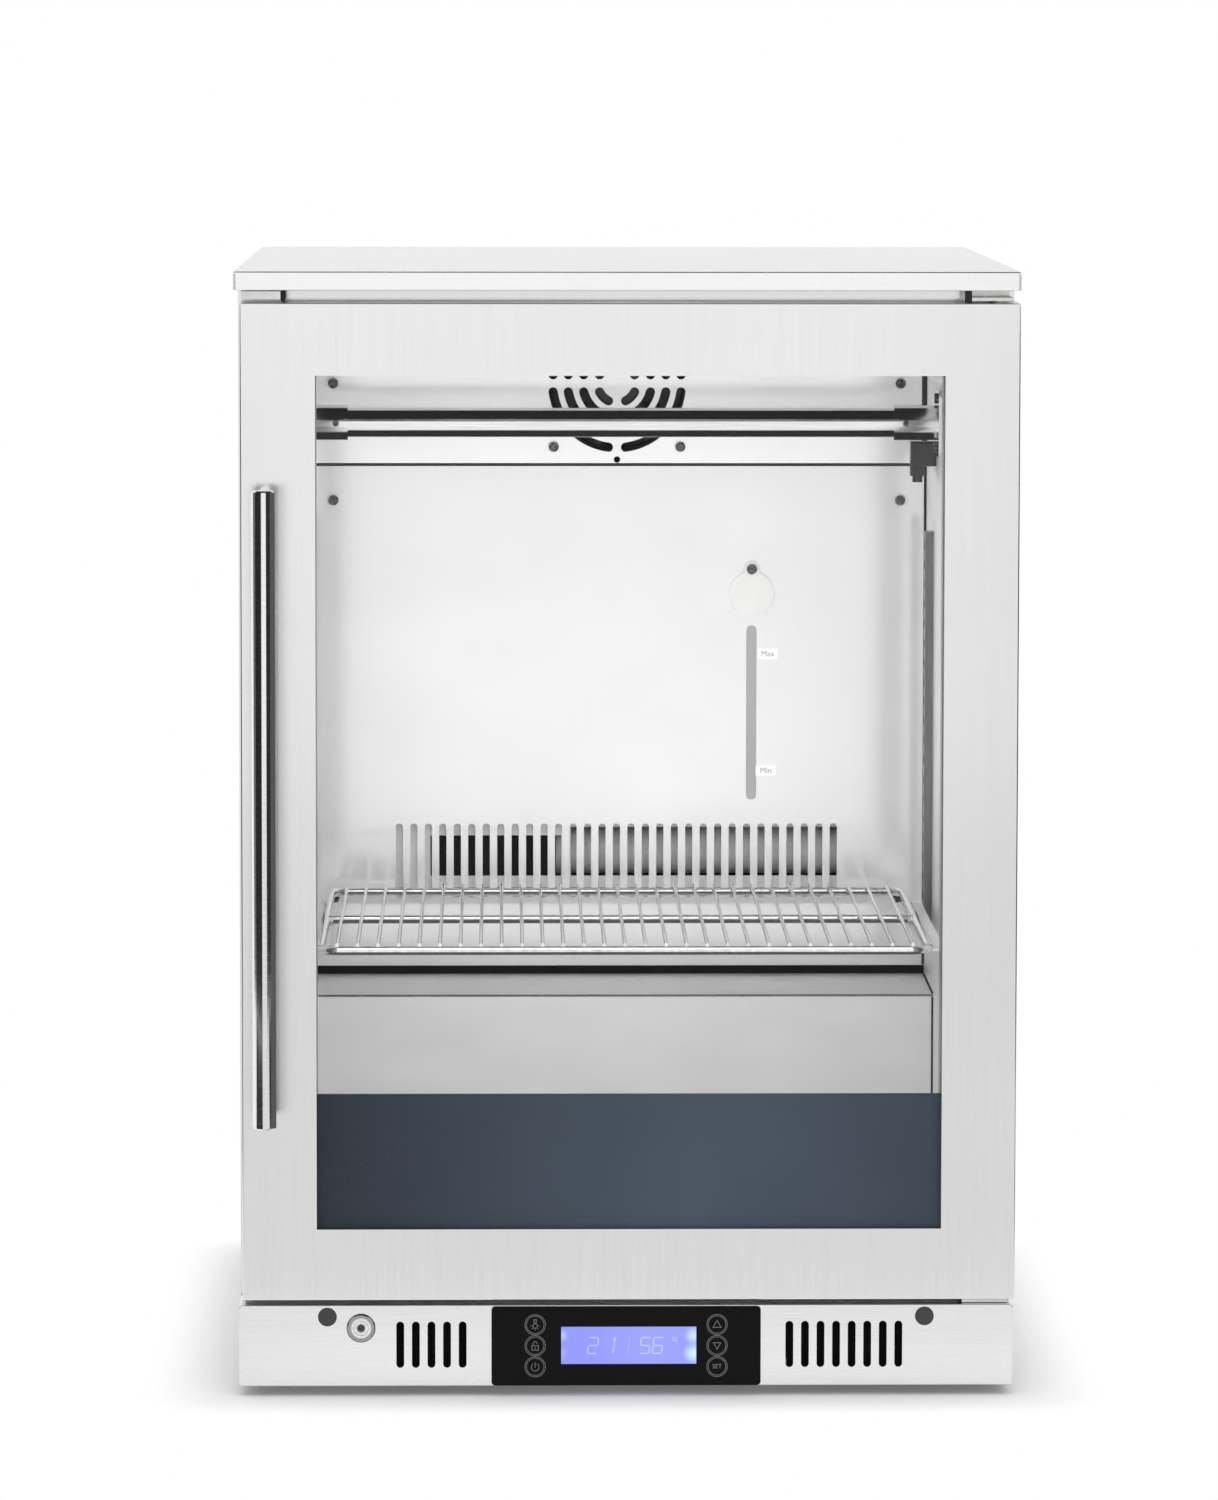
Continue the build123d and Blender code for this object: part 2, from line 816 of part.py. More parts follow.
# Hinge brackets: a flat leaf that holds the pin and an upright leaf on the front frame
def make_hinge_brackets():
    left, right = bracket_sides()
    front = at_depth(bracket_front)
    leaf = frame_front - bracket_thickness
    bottom_low, bottom_top, top_low, top_high = bracket_levels()
    bottom = slab(left, right, front, frame_front, bottom_low, bottom_top)
    bottom += slab(left, right, leaf, frame_front, bottom_low - bottom_bracket_leaf, bottom_low)
    top = slab(left, right, front, frame_front, top_low, top_high)
    top += slab(left, right, leaf, frame_front, top_high, top_high + top_bracket_leaf)
    holes = bracket_screw_holes()
    pin_hole_low = drum_z(hinge_x, hinge_y, bottom_low - cut_over, bottom_top + cut_over, pin_radius)
    pin_hole_high = drum_z(hinge_x, hinge_y, top_low - cut_over, top_high + cut_over, pin_radius)
    return bottom - holes - pin_hole_low, top - holes - pin_hole_high


def make_hinge_pins():
    (low, low_top), (high_bottom, high) = bush_spans()
    bottom_low, bottom_top, top_low, top_high = bracket_levels()
    reach = pin_in_door - head_clearance
    bottom = drum_z(hinge_x, hinge_y, bottom_low, low + reach, pin_radius)
    top = drum_z(hinge_x, hinge_y, high - reach, top_high, pin_radius)
    return bottom, top


def make_hinge_blank():
    low = door_high + rail_gap
    left = -case_half + blank_inset
    return slab(left, left + blank_width, at_depth(blank_front), frame_front, low, low + blank_height)


# Fascia under the door: vents, window of the display, lock hole and slot for the cam
def make_fascia():
    top_back = at_depth(fascia_top_leaf)
    outline = RectangleRounded(case_width, fascia_height, fascia_corner)
    shell = upright(outline, 0, fascia_middle, front_y, frame_back)
    shell = fillet(shell.edges().group_by(Axis.Y)[0], fascia_fold)
    shell -= slab(-case_half + fascia_sheet, case_half - fascia_sheet, front_y + fascia_sheet,
                  frame_back + cut_over, fascia_low - cut_over, fascia_high - fascia_sheet)
    shell -= slab(-case_half - cut_over, case_half + cut_over, top_back, frame_back + cut_over,
                  fascia_high - fascia_corner, fascia_high + cut_over)
    through = (front_y - cut_over, front_y + fascia_sheet + cut_over)
    for side, vents in zip(corner_signs, (left_vents, right_vents)):
        for index in range(vents):
            x = side * (vent_first_x + index * vent_pitch)
            shell -= upright_slot(x, fascia_middle + vent_rise, vent_width, vent_height, *through)
    shell -= slab(display_x - display_width / 2, display_x + display_width / 2, *through,
                  display_z - display_height / 2, display_z + display_height / 2)
    shell -= drum_y(lock_x, *through, lock_z, lock_tube_radius)
    for side in corner_signs:
        shell -= drum_y(side * plug_x, *through, plug_z, plug_stem_radius)
    cam_front = lock_cam_front()
    shell -= slab(lock_x - cam_width / 2 - cam_clearance, lock_x + cam_slot_side, cam_front - cam_clearance,
                  cam_front + cam_thickness + cam_clearance, fascia_high - fascia_sheet - cut_over,
                  fascia_high + cut_over)
    return shell


# Control glass, with the display set in it and the board behind
def make_controls():
    glass_front = front_y - glass_panel_thickness
    glass_panel_height = fascia_height - 2 * glass_panel_edge
    outline = RectangleRounded(glass_panel_width, glass_panel_height, glass_panel_corner)
    glass = upright(outline, 0, fascia_middle, glass_front, front_y)
    left, right = display_x - display_width / 2, display_x + display_width / 2
    low, high = display_z - display_height / 2, display_z + display_height / 2
    glass -= slab(left, right, glass_front - cut_over, front_y + cut_over, low, high)
    module_back = front_y + display_module
    display = slab(left, right, glass_front + display_recess, module_back, low, high)
    board_half_x = glass_panel_width / 2 - board_side
    board_half_z = glass_panel_height / 2 - board_edge
    board = slab(display_x - board_half_x, display_x + board_half_x, module_back,
                 module_back + board_thickness, display_z - board_half_z, display_z + board_half_z)
    return glass, display, board


def make_plugs():
    plugs = []
    for side in corner_signs:
        x = side * plug_x
        head = drum_y(x, front_y - plug_dome, front_y, plug_z, plug_radius)
        rim = head.edges().filter_by(GeomType.CIRCLE).sort_by(Axis.Y)[0]
        head = fillet(rim, plug_dome - head_clearance / 2)
        plugs.append(head + drum_y(x, front_y, front_y + plug_stem, plug_z, plug_stem_radius))
    return plugs


def make_lock():
    bore = lock_barrel_radius + pin_clearance
    housing = drum_y(lock_x, front_y - lock_flange, front_y, lock_z, lock_flange_radius)
    housing = chamfer(housing.edges().filter_by(GeomType.CIRCLE).sort_by(Axis.Y)[0], lock_flange / 2)
    housing += drum_y(lock_x, front_y, at_depth(lock_tube), lock_z, lock_tube_radius)
    housing -= drum_y(lock_x, front_y - lock_flange - cut_over, at_depth(lock_tube) + cut_over, lock_z,
                      bore)
    barrel_front = front_y - lock_flange + lock_barrel_recess
    barrel = drum_y(lock_x, barrel_front, at_depth(lock_barrel_back), lock_z, lock_barrel_radius)
    keyway_back = barrel_front + keyway_depth
    barrel -= drum_y(lock_x, barrel_front - cut_over, keyway_back, lock_z, keyway_radius)
    barrel -= slab(lock_x - keyway_slot / 2, lock_x + keyway_slot / 2, barrel_front,
                   keyway_back + keyway_depth, lock_z - keyway_radius, lock_z + keyway_radius)
    cam_front = lock_cam_front()
    cam_back = cam_front + cam_thickness
    barrel += drum_y(lock_x, at_depth(lock_barrel_back), cam_back, lock_z, lock_tail_radius)
    reach = cam_reach - cam_width / 2
    cam = slab(lock_x, lock_x + reach, cam_front, cam_back, lock_z - cam_width / 2,
               lock_z + cam_width / 2)
    cam += drum_y(lock_x, cam_front, cam_back, lock_z, cam_width / 2 + cam_clearance)
    cam += drum_y(lock_x + reach, cam_front, cam_back, lock_z, cam_width / 2)
    cam -= drum_y(lock_x, cam_front - cut_over, cam_back + cut_over, lock_z, lock_tail_radius)
    return housing, barrel, cam


def fan_cover_span():
    return cover_seam + cover_seam_gap / 2, cavity_ceiling - cover_top_gap


def cover_screw_heights():
    return step_top + cover_screw_rise, cover_seam - cover_screw_drop, fan_middle_z


def fan_cover_screws():
    high = cover_screw_heights()[2]
    places = [(side * cover_screw_x, high) for side in corner_signs]
    places += [(side * fan_screw_offset, fan_middle_z + level * fan_screw_offset)
               for side in corner_signs for level in corner_signs]
    return places


def evaporator_cover_screws():
    return [(side * cover_screw_x, z) for side in corner_signs for z in cover_screw_heights()[:2]]


# Upper cover with four rings of curved slots in front of the fan
def make_fan_cover():
    low, high = fan_cover_span()
    half = cavity_half - fan_cover_side_gap
    plate = slab(-half, half, cover_y, cover_back, low, high)
    slots = []
    for ring in range(grille_rings):
        radius = grille_first_radius + ring * grille_pitch
        keep = math.degrees(math.asin((grille_bridge + grille_slot) / 2 / radius))
        for quadrant in range(full_turn // quarter):
            arc = CenterArc((0, 0), radius, quadrant * quarter + keep, quarter - 2 * keep)
            slots.append(upright(SlotArc(arc, grille_slot), 0, fan_middle_z, cover_y - cut_over,
                                 cover_back + cut_over))
    holes = [drum_y(x, cover_y - cut_over, cover_back + cut_over, z, screw_radius)
             for x, z in fan_cover_screws()]
    hole_z = cover_seam + cable_hole_rise
    hole = drum_y(0, cover_y - cut_over, cover_back + cut_over, hole_z, cable_hole_radius)
    return plate - slots - holes - hole


# Lower cover with the return slots, the gauge slot and the fill hole
def make_evaporator_cover():
    half = cavity_half - evaporator_cover_side_gap
    low = step_top + cover_bottom_gap
    plate = slab(-half, half, cover_y, cover_back, low, cover_seam - cover_seam_gap / 2)
    through = (cover_y - cut_over, cover_back + cut_over)
    first = -(return_slots - 1) * return_slot_pitch / 2
    slots = [upright_slot(first + index * return_slot_pitch, return_slot_middle, return_slot_width,
                          return_slot_height, *through) for index in range(return_slots)]
    gauge_middle = (gauge_low + gauge_high) / 2
    gauge = upright_slot(tank_x, gauge_middle, gauge_width, gauge_high - gauge_low, *through)
    fill = drum_y(tank_x, *through, fill_z, fill_hole_radius)
    holes = [drum_y(x, *through, z, screw_radius) for x, z in evaporator_cover_screws()]
    pivot = drum_y(tank_x, *through, fill_screw_z, screw_radius)
    return plate - slots - gauge - fill - holes - pivot


# Angle posts behind the covers, one on each side wall
def make_cover_rails():
    rails = []
    low = step_top + cover_bottom_gap
    high = fan_cover_span()[1]
    for side in corner_signs:
        near, wall = side * (cavity_half - cover_rail_leaf), side * cavity_half
        x_low, x_high = sorted((near, wall))
        leaf_low, leaf_high = sorted((wall - side * cover_rail_sheet, wall))
        rail = slab(x_low, x_high, cover_back, cover_back + cover_rail_sheet, low, high)
        rail += slab(leaf_low, leaf_high, cover_back, cover_back + cover_rail_leaf, low, high)
        hole_back = cover_back + cover_rail_sheet + cut_over
        holes = [drum_y(side * cover_screw_x, cover_back - cut_over, hole_back, z, screw_radius)
                 for z in cover_screw_heights()]
        rails.append(rail - holes)
    return rails


def make_cover_screws():
    places = fan_cover_screws() + evaporator_cover_screws()
    screws = [front_screw(x, cover_y, z, screw_bite) for x, z in places]
    pivot_head = cover_y - fill_plate - 2 * fill_gap
    bite = cover_back + tank_gap + tank_wall - pivot_head
    screws.append(front_screw(tank_x, pivot_head, fill_screw_z, bite))
    return screws


# Axial fan frame: its rim, motor and struts; its own axis runs along +Y from the front face
def fan_frame():
    outline = RectangleRounded(fan_size, fan_size, fan_corner)
    frame = upright(outline, 0, 0, 0, fan_thickness)
    frame -= drum_y(0, -cut_over, fan_thickness + cut_over, 0, fan_bore_radius)
    back = fan_thickness - fan_strut
    for turn in (0, quarter):
        strut = slab(-fan_bore_radius - cut_over, fan_bore_radius + cut_over, back, fan_thickness,
                     -fan_strut / 2, fan_strut / 2)
        frame += Rot(0, turn + quarter / 2, 0) * strut
    frame += drum_y(0, fan_motor_front, fan_thickness, 0, fan_motor_radius)
    shaft = fan_shaft_radius + pin_clearance
    frame -= drum_y(0, fan_motor_front - cut_over, fan_motor_front + fan_shaft_bite + cut_over, 0, shaft)
    for side in corner_signs:
        for level in corner_signs:
            frame -= drum_y(side * fan_screw_offset, -cut_over, screw_bite + cut_over,
                            level * fan_screw_offset, screw_radius)
    return frame


# Fan wheel: a hub, a shaft and pitched blades
def fan_wheel():
    wheel = drum_y(0, fan_hub_front, fan_hub_back, 0, fan_hub_radius)
    wheel = fillet(wheel.edges().filter_by(GeomType.CIRCLE).sort_by(Axis.Y)[0], fan_strut / 2)
    middle_y = (fan_hub_front + fan_hub_back) / 2
    root = fan_hub_radius * fan_blade_root_share
    span = fan_blade_tip - root
    blade = Box(fan_blade_chord, fan_blade_thickness, span)
    blade = Pos(0, middle_y, root + span / 2) * Rot(0, 0, fan_blade_pitch_angle) * blade
    rim = drum_y(0, 0, fan_thickness, 0, fan_blade_tip)
    blade = blade & rim
    for index in range(fan_blades):
        wheel += Rot(0, index * full_turn / fan_blades, 0) * blade
    return wheel + drum_y(0, fan_hub_back, fan_motor_front + fan_shaft_bite, 0, fan_shaft_radius)


# Finned coil: tubes along X joined by return bends, fins across them, end plates at both ends
def finned_coil(width, thickness, height, plate_back):
    tube_pitch = height / coil_tubes
    y = thickness / 2
    bend_reach = tube_pitch / 2
    heights = [tube_pitch / 2 + index * tube_pitch for index in range(coil_tubes)]
    tubes = [drum_x(0, width, y, z, coil_tube_radius) for z in heights]
    for index in range(coil_tubes - 1):
        x = width if index % 2 == 0 else 0
        start = quarter if index % 2 else -quarter
        arc = Pos(x, y, heights[index] + bend_reach) * Rot(quarter, 0, 0) * CenterArc(
            (0, 0), bend_reach, start, 2 * quarter)
        section = Plane(arc @ 0, z_dir=arc % 0) * Circle(coil_tube_radius)
        tubes.append(sweep(section, path=arc))
    fin_pitch = width / (coil_fins + 1)
    plates = [slab((index + 1) * fin_pitch - fin_sheet / 2, (index + 1) * fin_pitch + fin_sheet / 2, 0,
                   thickness, 0, height) for index in range(coil_fins)]
    plates.append(slab(0, end_plate, 0, plate_back, 0, height))
    plates.append(slab(width - end_plate, width, 0, plate_back, 0, height))
    return tubes[0] + tubes[1:] + plates


def make_evaporator():
    reach = cavity_depth - evaporator_front
    coil = finned_coil(evaporator_width, evaporator_thickness, evaporator_height, reach)
    return Pos(evaporator_low_x, at_depth(evaporator_front), evaporator_low_z) * coil


# Water tank behind the lower cover, with its fill neck
def make_tank():
    front = cover_back + tank_gap
    half = tank_width / 2
    body = slab(tank_x - half, tank_x + half, front, front + tank_thickness, tank_low, tank_high)
    inner = half - tank_wall
    body -= slab(tank_x - inner, tank_x + inner, front + tank_wall, front + tank_thickness - tank_wall,
                 tank_low + tank_wall, tank_high - tank_wall)
    body += drum_y(tank_x, cover_back, front + tank_wall, fill_z, fill_hole_radius + tank_wall)
    through = (cover_back - cut_over, front + tank_wall + cut_over)
    body -= drum_y(tank_x, *through, fill_z, fill_hole_radius)
    return body - drum_y(tank_x, *through, fill_screw_z, screw_radius)


def make_gauge():
    return upright_slot(tank_x, (gauge_low + gauge_high) / 2, gauge_width, gauge_high - gauge_low,
                        cover_y + gauge_recess, cover_back + tank_gap)


# Swivel cover of the fill hole, hung on its screw
def make_fill_cover():
    back = cover_y - fill_gap
    front = back - fill_plate
    plate = drum_y(tank_x, front, back, fill_z, fill_radius)
    plate += drum_y(tank_x, front, back, fill_screw_z, fill_ear_radius)
    plate += slab(tank_x - fill_ear_radius, tank_x + fill_ear_radius, front, back, fill_z, fill_screw_z)
    bore = screw_radius + pin_clearance
    return plate - drum_y(tank_x, front - cut_over, back + cut_over, fill_screw_z, bore)


def grub_places():
    return [side * (cavity_half - rod_plate - socket_length + grub_from_end) for side in corner_signs]


# Hanging rod in its two sockets, each with a wall plate
def make_hanging_rod():
    y = at_depth(rod_depth)
    reach = cavity_half - rod_end_gap
    radius = rod_diameter / 2
    rod = drum_x(-reach, reach, y, rod_z, radius)
    rod -= drum_x(-reach - cut_over, reach + cut_over, y, rod_z, radius - rod_wall)
    sockets = []
    screws = []
    for side, grub_x in zip(corner_signs, grub_places()):
        wall = side * cavity_half
        plate_face = wall - side * rod_plate
        mouth = plate_face - side * socket_length
        low, high = sorted((mouth, plate_face))
        socket = drum_x(low, high, y, rod_z, socket_diameter / 2)
        plate_outline = RectangleRounded(rod_plate_height, rod_plate_width, rod_plate_corner)
        plate_low, plate_high = sorted((plate_face, wall))
        plate = Pos(plate_low, y, rod_z) * Rot(0, quarter, 0) * extrude(plate_outline, rod_plate)
        socket += plate
        bore_low, bore_high = sorted((mouth - side * cut_over, side * reach))
        socket -= drum_x(bore_low, bore_high, y, rod_z, radius)
        socket -= drum_y(grub_x, y - socket_diameter, y, rod_z, grub_radius)
        for level in corner_signs:
            z = rod_z + level * rod_screw_offset
            socket -= drum_x(plate_low - cut_over, plate_high + cut_over, y, z, screw_radius)
            head_low, head_high = sorted((plate_face, plate_face - side * screw_head))
            screw = drum_x(head_low, head_high, y, z, screw_head_radius)
            screws.append(screw + drum_x(plate_low, plate_high, y, z, screw_radius))
        sockets.append(socket)
        grub = drum_y(grub_x, y - socket_diameter / 2, y - radius, rod_z, grub_radius)
        screws.append(grub - drum_x(-reach, reach, y, rod_z, radius))
    return rod, sockets, screws


# Sensor box on the right wall, with a neck and a cable gland below
def make_sensor():
    front, back = at_depth(sensor_front), at_depth(sensor_front + sensor_thickness)
    box = slab(sensor_low_x, cavity_half, front, back, sensor_low_z, sensor_low_z + sensor_height)
    box = fillet(box.edges().group_by(Axis.Y)[0], sensor_corner)
    neck_low = sensor_low_z - sensor_neck
    middle_x = sensor_low_x + sensor_neck_width / 2
    middle_y = (front + back) / 2
    box += slab(sensor_low_x, sensor_low_x + sensor_neck_width, front + sensor_corner, back - sensor_corner,
                neck_low, sensor_low_z)
    box += drum_z(middle_x, middle_y, neck_low - gland_length, neck_low, gland_radius)
    return box


# Wire shelf: an outer loop of rod, a middle rod and thin wires from front to back
def make_shelf():
    half = shelf_width / 2
    front, middle, back = at_depth(shelf_front), at_depth(shelf_middle), at_depth(shelf_back)
    centre = (front + back) / 2
    loop = Wire(RectangleRounded(shelf_width, back - front, shelf_corner).edges())
    outline = Pos(0, centre, shelf_z) * loop
    section = Plane(outline @ 0, z_dir=outline % 0) * Circle(shelf_rod_radius)
    shelf = sweep(section, path=outline)
    shelf += drum_x(-half, half, middle, shelf_z, shelf_rod_radius)
    wire_z = shelf_z + shelf_rod_radius + shelf_wire_radius - shelf_weld
    first = -(shelf_wires - 1) * shelf_wire_pitch / 2
    wires = [drum_y(first + index * shelf_wire_pitch, front, back + shelf_wire_tail, wire_z,
                    shelf_wire_radius) for index in range(shelf_wires)]
    return shelf + wires


def make_shelf_rails():
    rails = []
    top = shelf_z - shelf_rod_radius - shelf_seat
    front = at_depth(strip_front - shelf_rail_front_over)
    rail_back = at_depth(strip_back + shelf_rail_back_over)
    face = cavity_half - strip_thickness
    for side in corner_signs:
        wall = side * face
        leaf_low, leaf_high = sorted((wall, wall - side * shelf_rail_leaf))
        drop_low, drop_high = sorted((wall, wall - side * shelf_rail_sheet))
        rail = slab(leaf_low, leaf_high, front, rail_back, top - shelf_rail_sheet, top)
        rail += slab(drop_low, drop_high, front, rail_back, top - shelf_rail_drop, top)
        rails.append(rail)
    return rails


# Toothed strips on the side walls, with notches up their inner faces
def make_support_strips():
    strips = []
    notches = int((strip_high - strip_low) // tooth_pitch)
    for side in corner_signs:
        for distance in (strip_front, strip_back):
            low, high = sorted((side * (cavity_half - strip_thickness), side * cavity_half))
            y_low, y_high = at_depth(distance) - strip_width / 2, at_depth(distance) + strip_width / 2
            strip = slab(low, high, y_low, y_high, strip_low, strip_high)
            face = side * (cavity_half - strip_thickness)
            cut_low, cut_high = sorted((face - side * cut_over, face + side * tooth_depth))
            for index in range(notches):
                z = strip_low + (index + 1 / 2) * tooth_pitch
                strip -= slab(cut_low, cut_high, y_low + tooth_depth, y_high + cut_over, z,
                              z + tooth_height)
            strips.append(strip)
    return strips


def make_lamp():
    half = lamp_length / 2
    front = at_depth(lamp_front)
    lamp = slab(-half, half, front, front + lamp_width, cavity_ceiling - lamp_height, cavity_ceiling)
    return fillet(lamp.edges().group_by(Axis.Z)[0], lamp_corner)


# Hermetic compressor: a drum with a domed lid on a pressed plate, and its terminal box
def make_compressor():
    y = at_depth(compressor_depth)
    plate_low = base_high + mount_height
    plate_high = plate_low + compressor_plate
    plate = slab(compressor_x - compressor_plate_x, compressor_x + compressor_plate_x,
                 y - compressor_plate_y, y + compressor_plate_y, plate_low, plate_high)
    shell = drum_z(compressor_x, y, plate_high, plate_high + compressor_side, compressor_radius)
    lid_low = plate_high + compressor_side
    lid_high = lid_low + compressor_dome
    lid_radius = (compressor_radius ** 2 + compressor_dome ** 2) / (2 * compressor_dome)
    ball = Pos(compressor_x, y, lid_high - lid_radius) * Sphere(lid_radius)
    dome = ball & drum_z(compressor_x, y, lid_low, lid_high + cut_over, compressor_radius)
    terminal_low = plate_high + terminal_rise
    box = slab(compressor_x - compressor_radius - terminal_reach, compressor_x, y - terminal_size / 2,
               y + terminal_size / 2, terminal_low, terminal_low + terminal_size)
    return plate + shell + dome + box


def make_compressor_mounts():
    y = at_depth(compressor_depth)
    return [drum_z(compressor_x + side * mount_x, y + level * mount_y, base_high, base_high + mount_height,
                   mount_radius) for side in corner_signs for level in corner_signs]


# Condenser: the same finned coil, stood on the pan with its tubes from front to back
def make_condenser():
    coil = finned_coil(condenser_length, condenser_thickness, condenser_height, condenser_thickness)
    place = Pos(condenser_low_x + condenser_thickness, at_depth(condenser_front), base_high)
    return place * Rot(0, 0, quarter) * coil


def condenser_fan_place():
    return Pos(condenser_low_x + condenser_thickness, at_depth(condenser_fan_depth),
               base_high + fan_size / 2) * Rot(0, 0, -quarter)


def make_drier():
    y = at_depth(drier_depth)
    body = drum_z(drier_x, y, drier_low, drier_low + drier_length, drier_radius)
    cone = Cone(pipe_radius, drier_radius, drier_cone)
    taper_low = Pos(drier_x, y, drier_low - drier_cone / 2) * cone
    taper_high = Pos(drier_x, y, drier_low + drier_length + drier_cone / 2) * Rot(2 * quarter, 0, 0) * cone
    return body + taper_low + taper_high


def pipe(*points):
    path = FilletPolyline(*points, radius=pipe_bend)
    section = Plane(path @ 0, z_dir=path % 0) * Circle(pipe_radius)
    return sweep(section, path=path)


# Copper pipes: discharge, liquid, capillary and suction lines, and the stubs of the evaporator
def make_pipes():
    y = at_depth(compressor_depth)
    coil_x = condenser_low_x + condenser_thickness / 2
    coil_y = at_depth(condenser_front)
    coil_step = condenser_height / coil_tubes / 2
    coil_low, coil_high = base_high + coil_step, base_high + condenser_height - coil_step
    lane_y = coil_y - pipe_lane
    shell_low = base_high + mount_height + compressor_plate
    shell_x = compressor_x - compressor_radius
    riser_x = shell_x - pipe_riser
    outlet_z = shell_low + compressor_side - pipe_lane
    run_high = room_ceiling - pipe_lane
    drier_y = at_depth(drier_depth)
    drier_bottom = drier_low - drier_cone
    drier_top = drier_low + drier_length + drier_cone
    suction_y = y + compressor_radius + pipe_lane
    suction_z = shell_low + compressor_side / 2
    discharge = pipe((shell_x + pipe_bite, y, outlet_z), (riser_x, y, outlet_z), (riser_x, y, run_high),
                     (riser_x, lane_y, run_high), (coil_x, lane_y, run_high), (coil_x, lane_y, coil_high),
                     (coil_x, coil_y, coil_high))
    liquid = pipe((coil_x, coil_y, coil_low), (coil_x, lane_y, coil_low), (drier_x, lane_y, coil_low),
                  (drier_x, drier_y, coil_low), (drier_x, drier_y, drier_bottom))
    capillary = drum_z(drier_x, drier_y, drier_top, room_ceiling, capillary_radius)
    suction = pipe((compressor_x, suction_y, room_ceiling), (compressor_x, suction_y, suction_z),
                   (compressor_x, suction_y - pipe_lane - pipe_bite, suction_z))
    stub_y = at_depth(evaporator_front) + evaporator_thickness / 2
    stub_x = evaporator_low_x - pipe_stub
    stub_step = evaporator_height / coil_tubes / 2
    stubs = [pipe((evaporator_low_x, stub_y, z), (stub_x, stub_y, z), (stub_x, at_depth(cavity_depth), z))
             for z in (evaporator_low_z + stub_step, evaporator_low_z + evaporator_height - stub_step)]
    return [discharge, liquid, capillary, suction] + stubs


def make_tray():
    front = at_depth(condenser_front)
    tray = slab(tray_low_x, tray_low_x + tray_width, front, front + tray_length, base_high,
                base_high + tray_height)
    inside = slab(tray_low_x + tray_wall, tray_low_x + tray_width - tray_wall, front + tray_wall,
                  front + tray_length - tray_wall, base_high + tray_wall,
                  base_high + tray_height + cut_over)
    return tray - inside


# Appliance inlet in the rear panel: a flanged body, its mouth and three contact blades
def make_inlet():
    back = panel_back + inlet_proud
    half_x, half_z = inlet_width / 2, inlet_height / 2
    body = slab(inlet_x - half_x, inlet_x + half_x, panel_front - inlet_body, panel_back, inlet_z - half_z,
                inlet_z + half_z)
    rim_x, rim_z = half_x + inlet_flange, half_z + inlet_flange
    body += slab(inlet_x - rim_x, inlet_x + rim_x, panel_back, back, inlet_z - rim_z, inlet_z + rim_z)
    body -= slab(inlet_x - inlet_mouth_width / 2, inlet_x + inlet_mouth_width / 2, back - inlet_mouth_depth,
                 back + cut_over, inlet_z - inlet_mouth_height / 2, inlet_z + inlet_mouth_height / 2)
    for index in blade_signs:
        x = inlet_x + index * blade_spacing
        body += slab(x - blade_thickness / 2, x + blade_thickness / 2, back - inlet_mouth_depth,
                     back - inlet_mouth_depth + blade_length, inlet_z - blade_width / 2,
                     inlet_z + blade_width / 2)
    return body


save("worktop", make_worktop())
save("case_panels", *make_case_panels())
save("insulation", *make_insulation())
save("inner_liner", make_liner())
save("front_frame", make_front_frame())
save("rear_panel", make_rear_panel())
save("base_pan", make_base_pan())
save("hinge_blank", make_hinge_blank())
save("hinge_brackets", *make_hinge_brackets())
save("hinge_pins", *make_hinge_pins())

for side, side_name in zip(corner_signs, ("left", "right")):
    for distance, end_name in ((foot_front, "front"), (foot_back, "rear")):
        save(f"foot_{end_name}_{side_name}", make_foot(side, distance))

glass_outer, glass_inner, glass_spacer, lower_band = make_glass()
handle_bar, handle_standoffs, handle_screws = make_handle()
save("door_frame", make_door_frame())
save("door_profile", make_door_profile())
save("glass_outer", glass_outer)
save("glass_inner", glass_inner)
save("glass_spacer", glass_spacer)
save("lower_band", lower_band)
save("door_gasket", make_gasket())
save("handle_bar", handle_bar)
save("handle_standoffs", *handle_standoffs)
save("handle_screws", *handle_screws)
save("hinge_bushes", *make_bushes())

control_glass, display, control_board = make_controls()
lock_housing, lock_barrel, lock_cam = make_lock()
save("fascia_panel", make_fascia())
save("control_glass", control_glass)
save("display", display)
save("control_board", control_board)
save("fascia_plugs", *make_plugs())
save("lock_housing", lock_housing)
save("lock_barrel", lock_barrel)
save("lock_cam", lock_cam)

fan_place = Pos(0, cover_back, fan_middle_z)
fan_frame_shape = fan_frame()
fan_wheel_shape = fan_wheel()
save("fan_cover", make_fan_cover())
save("evaporator_cover", make_evaporator_cover())
save("cover_rails", *make_cover_rails())
save("cover_screws", *make_cover_screws())
save("circulation_fan_frame", fan_place * fan_frame_shape)
save("circulation_fan_wheel", fan_place * fan_wheel_shape)
save("evaporator", make_evaporator())
save("water_tank", make_tank())
save("level_gauge", make_gauge())
save("fill_cover", make_fill_cover())

hanging_rod, rod_sockets, rod_screws = make_hanging_rod()
save("hanging_rod", hanging_rod)
save("rod_sockets", *rod_sockets)
save("fitting_screws", *make_bracket_screws(), *rod_screws)
save("humidity_sensor", make_sensor())
save("shelf", make_shelf())
save("shelf_rails", *make_shelf_rails())
save("support_strips", *make_support_strips())
save("ceiling_lamp", make_lamp())

save("compressor", make_compressor())
save("compressor_mounts", *make_compressor_mounts())
save("condenser", make_condenser())
save("condenser_fan_frame", condenser_fan_place() * fan_frame_shape)
save("condenser_fan_wheel", condenser_fan_place() * fan_wheel_shape)
save("filter_drier", make_drier())
save("refrigerant_pipes", *make_pipes())
save("drip_tray", make_tray())
save("power_inlet", make_inlet())
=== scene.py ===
import json
import math

import bmesh
import bpy
from mathutils import Matrix, Vector


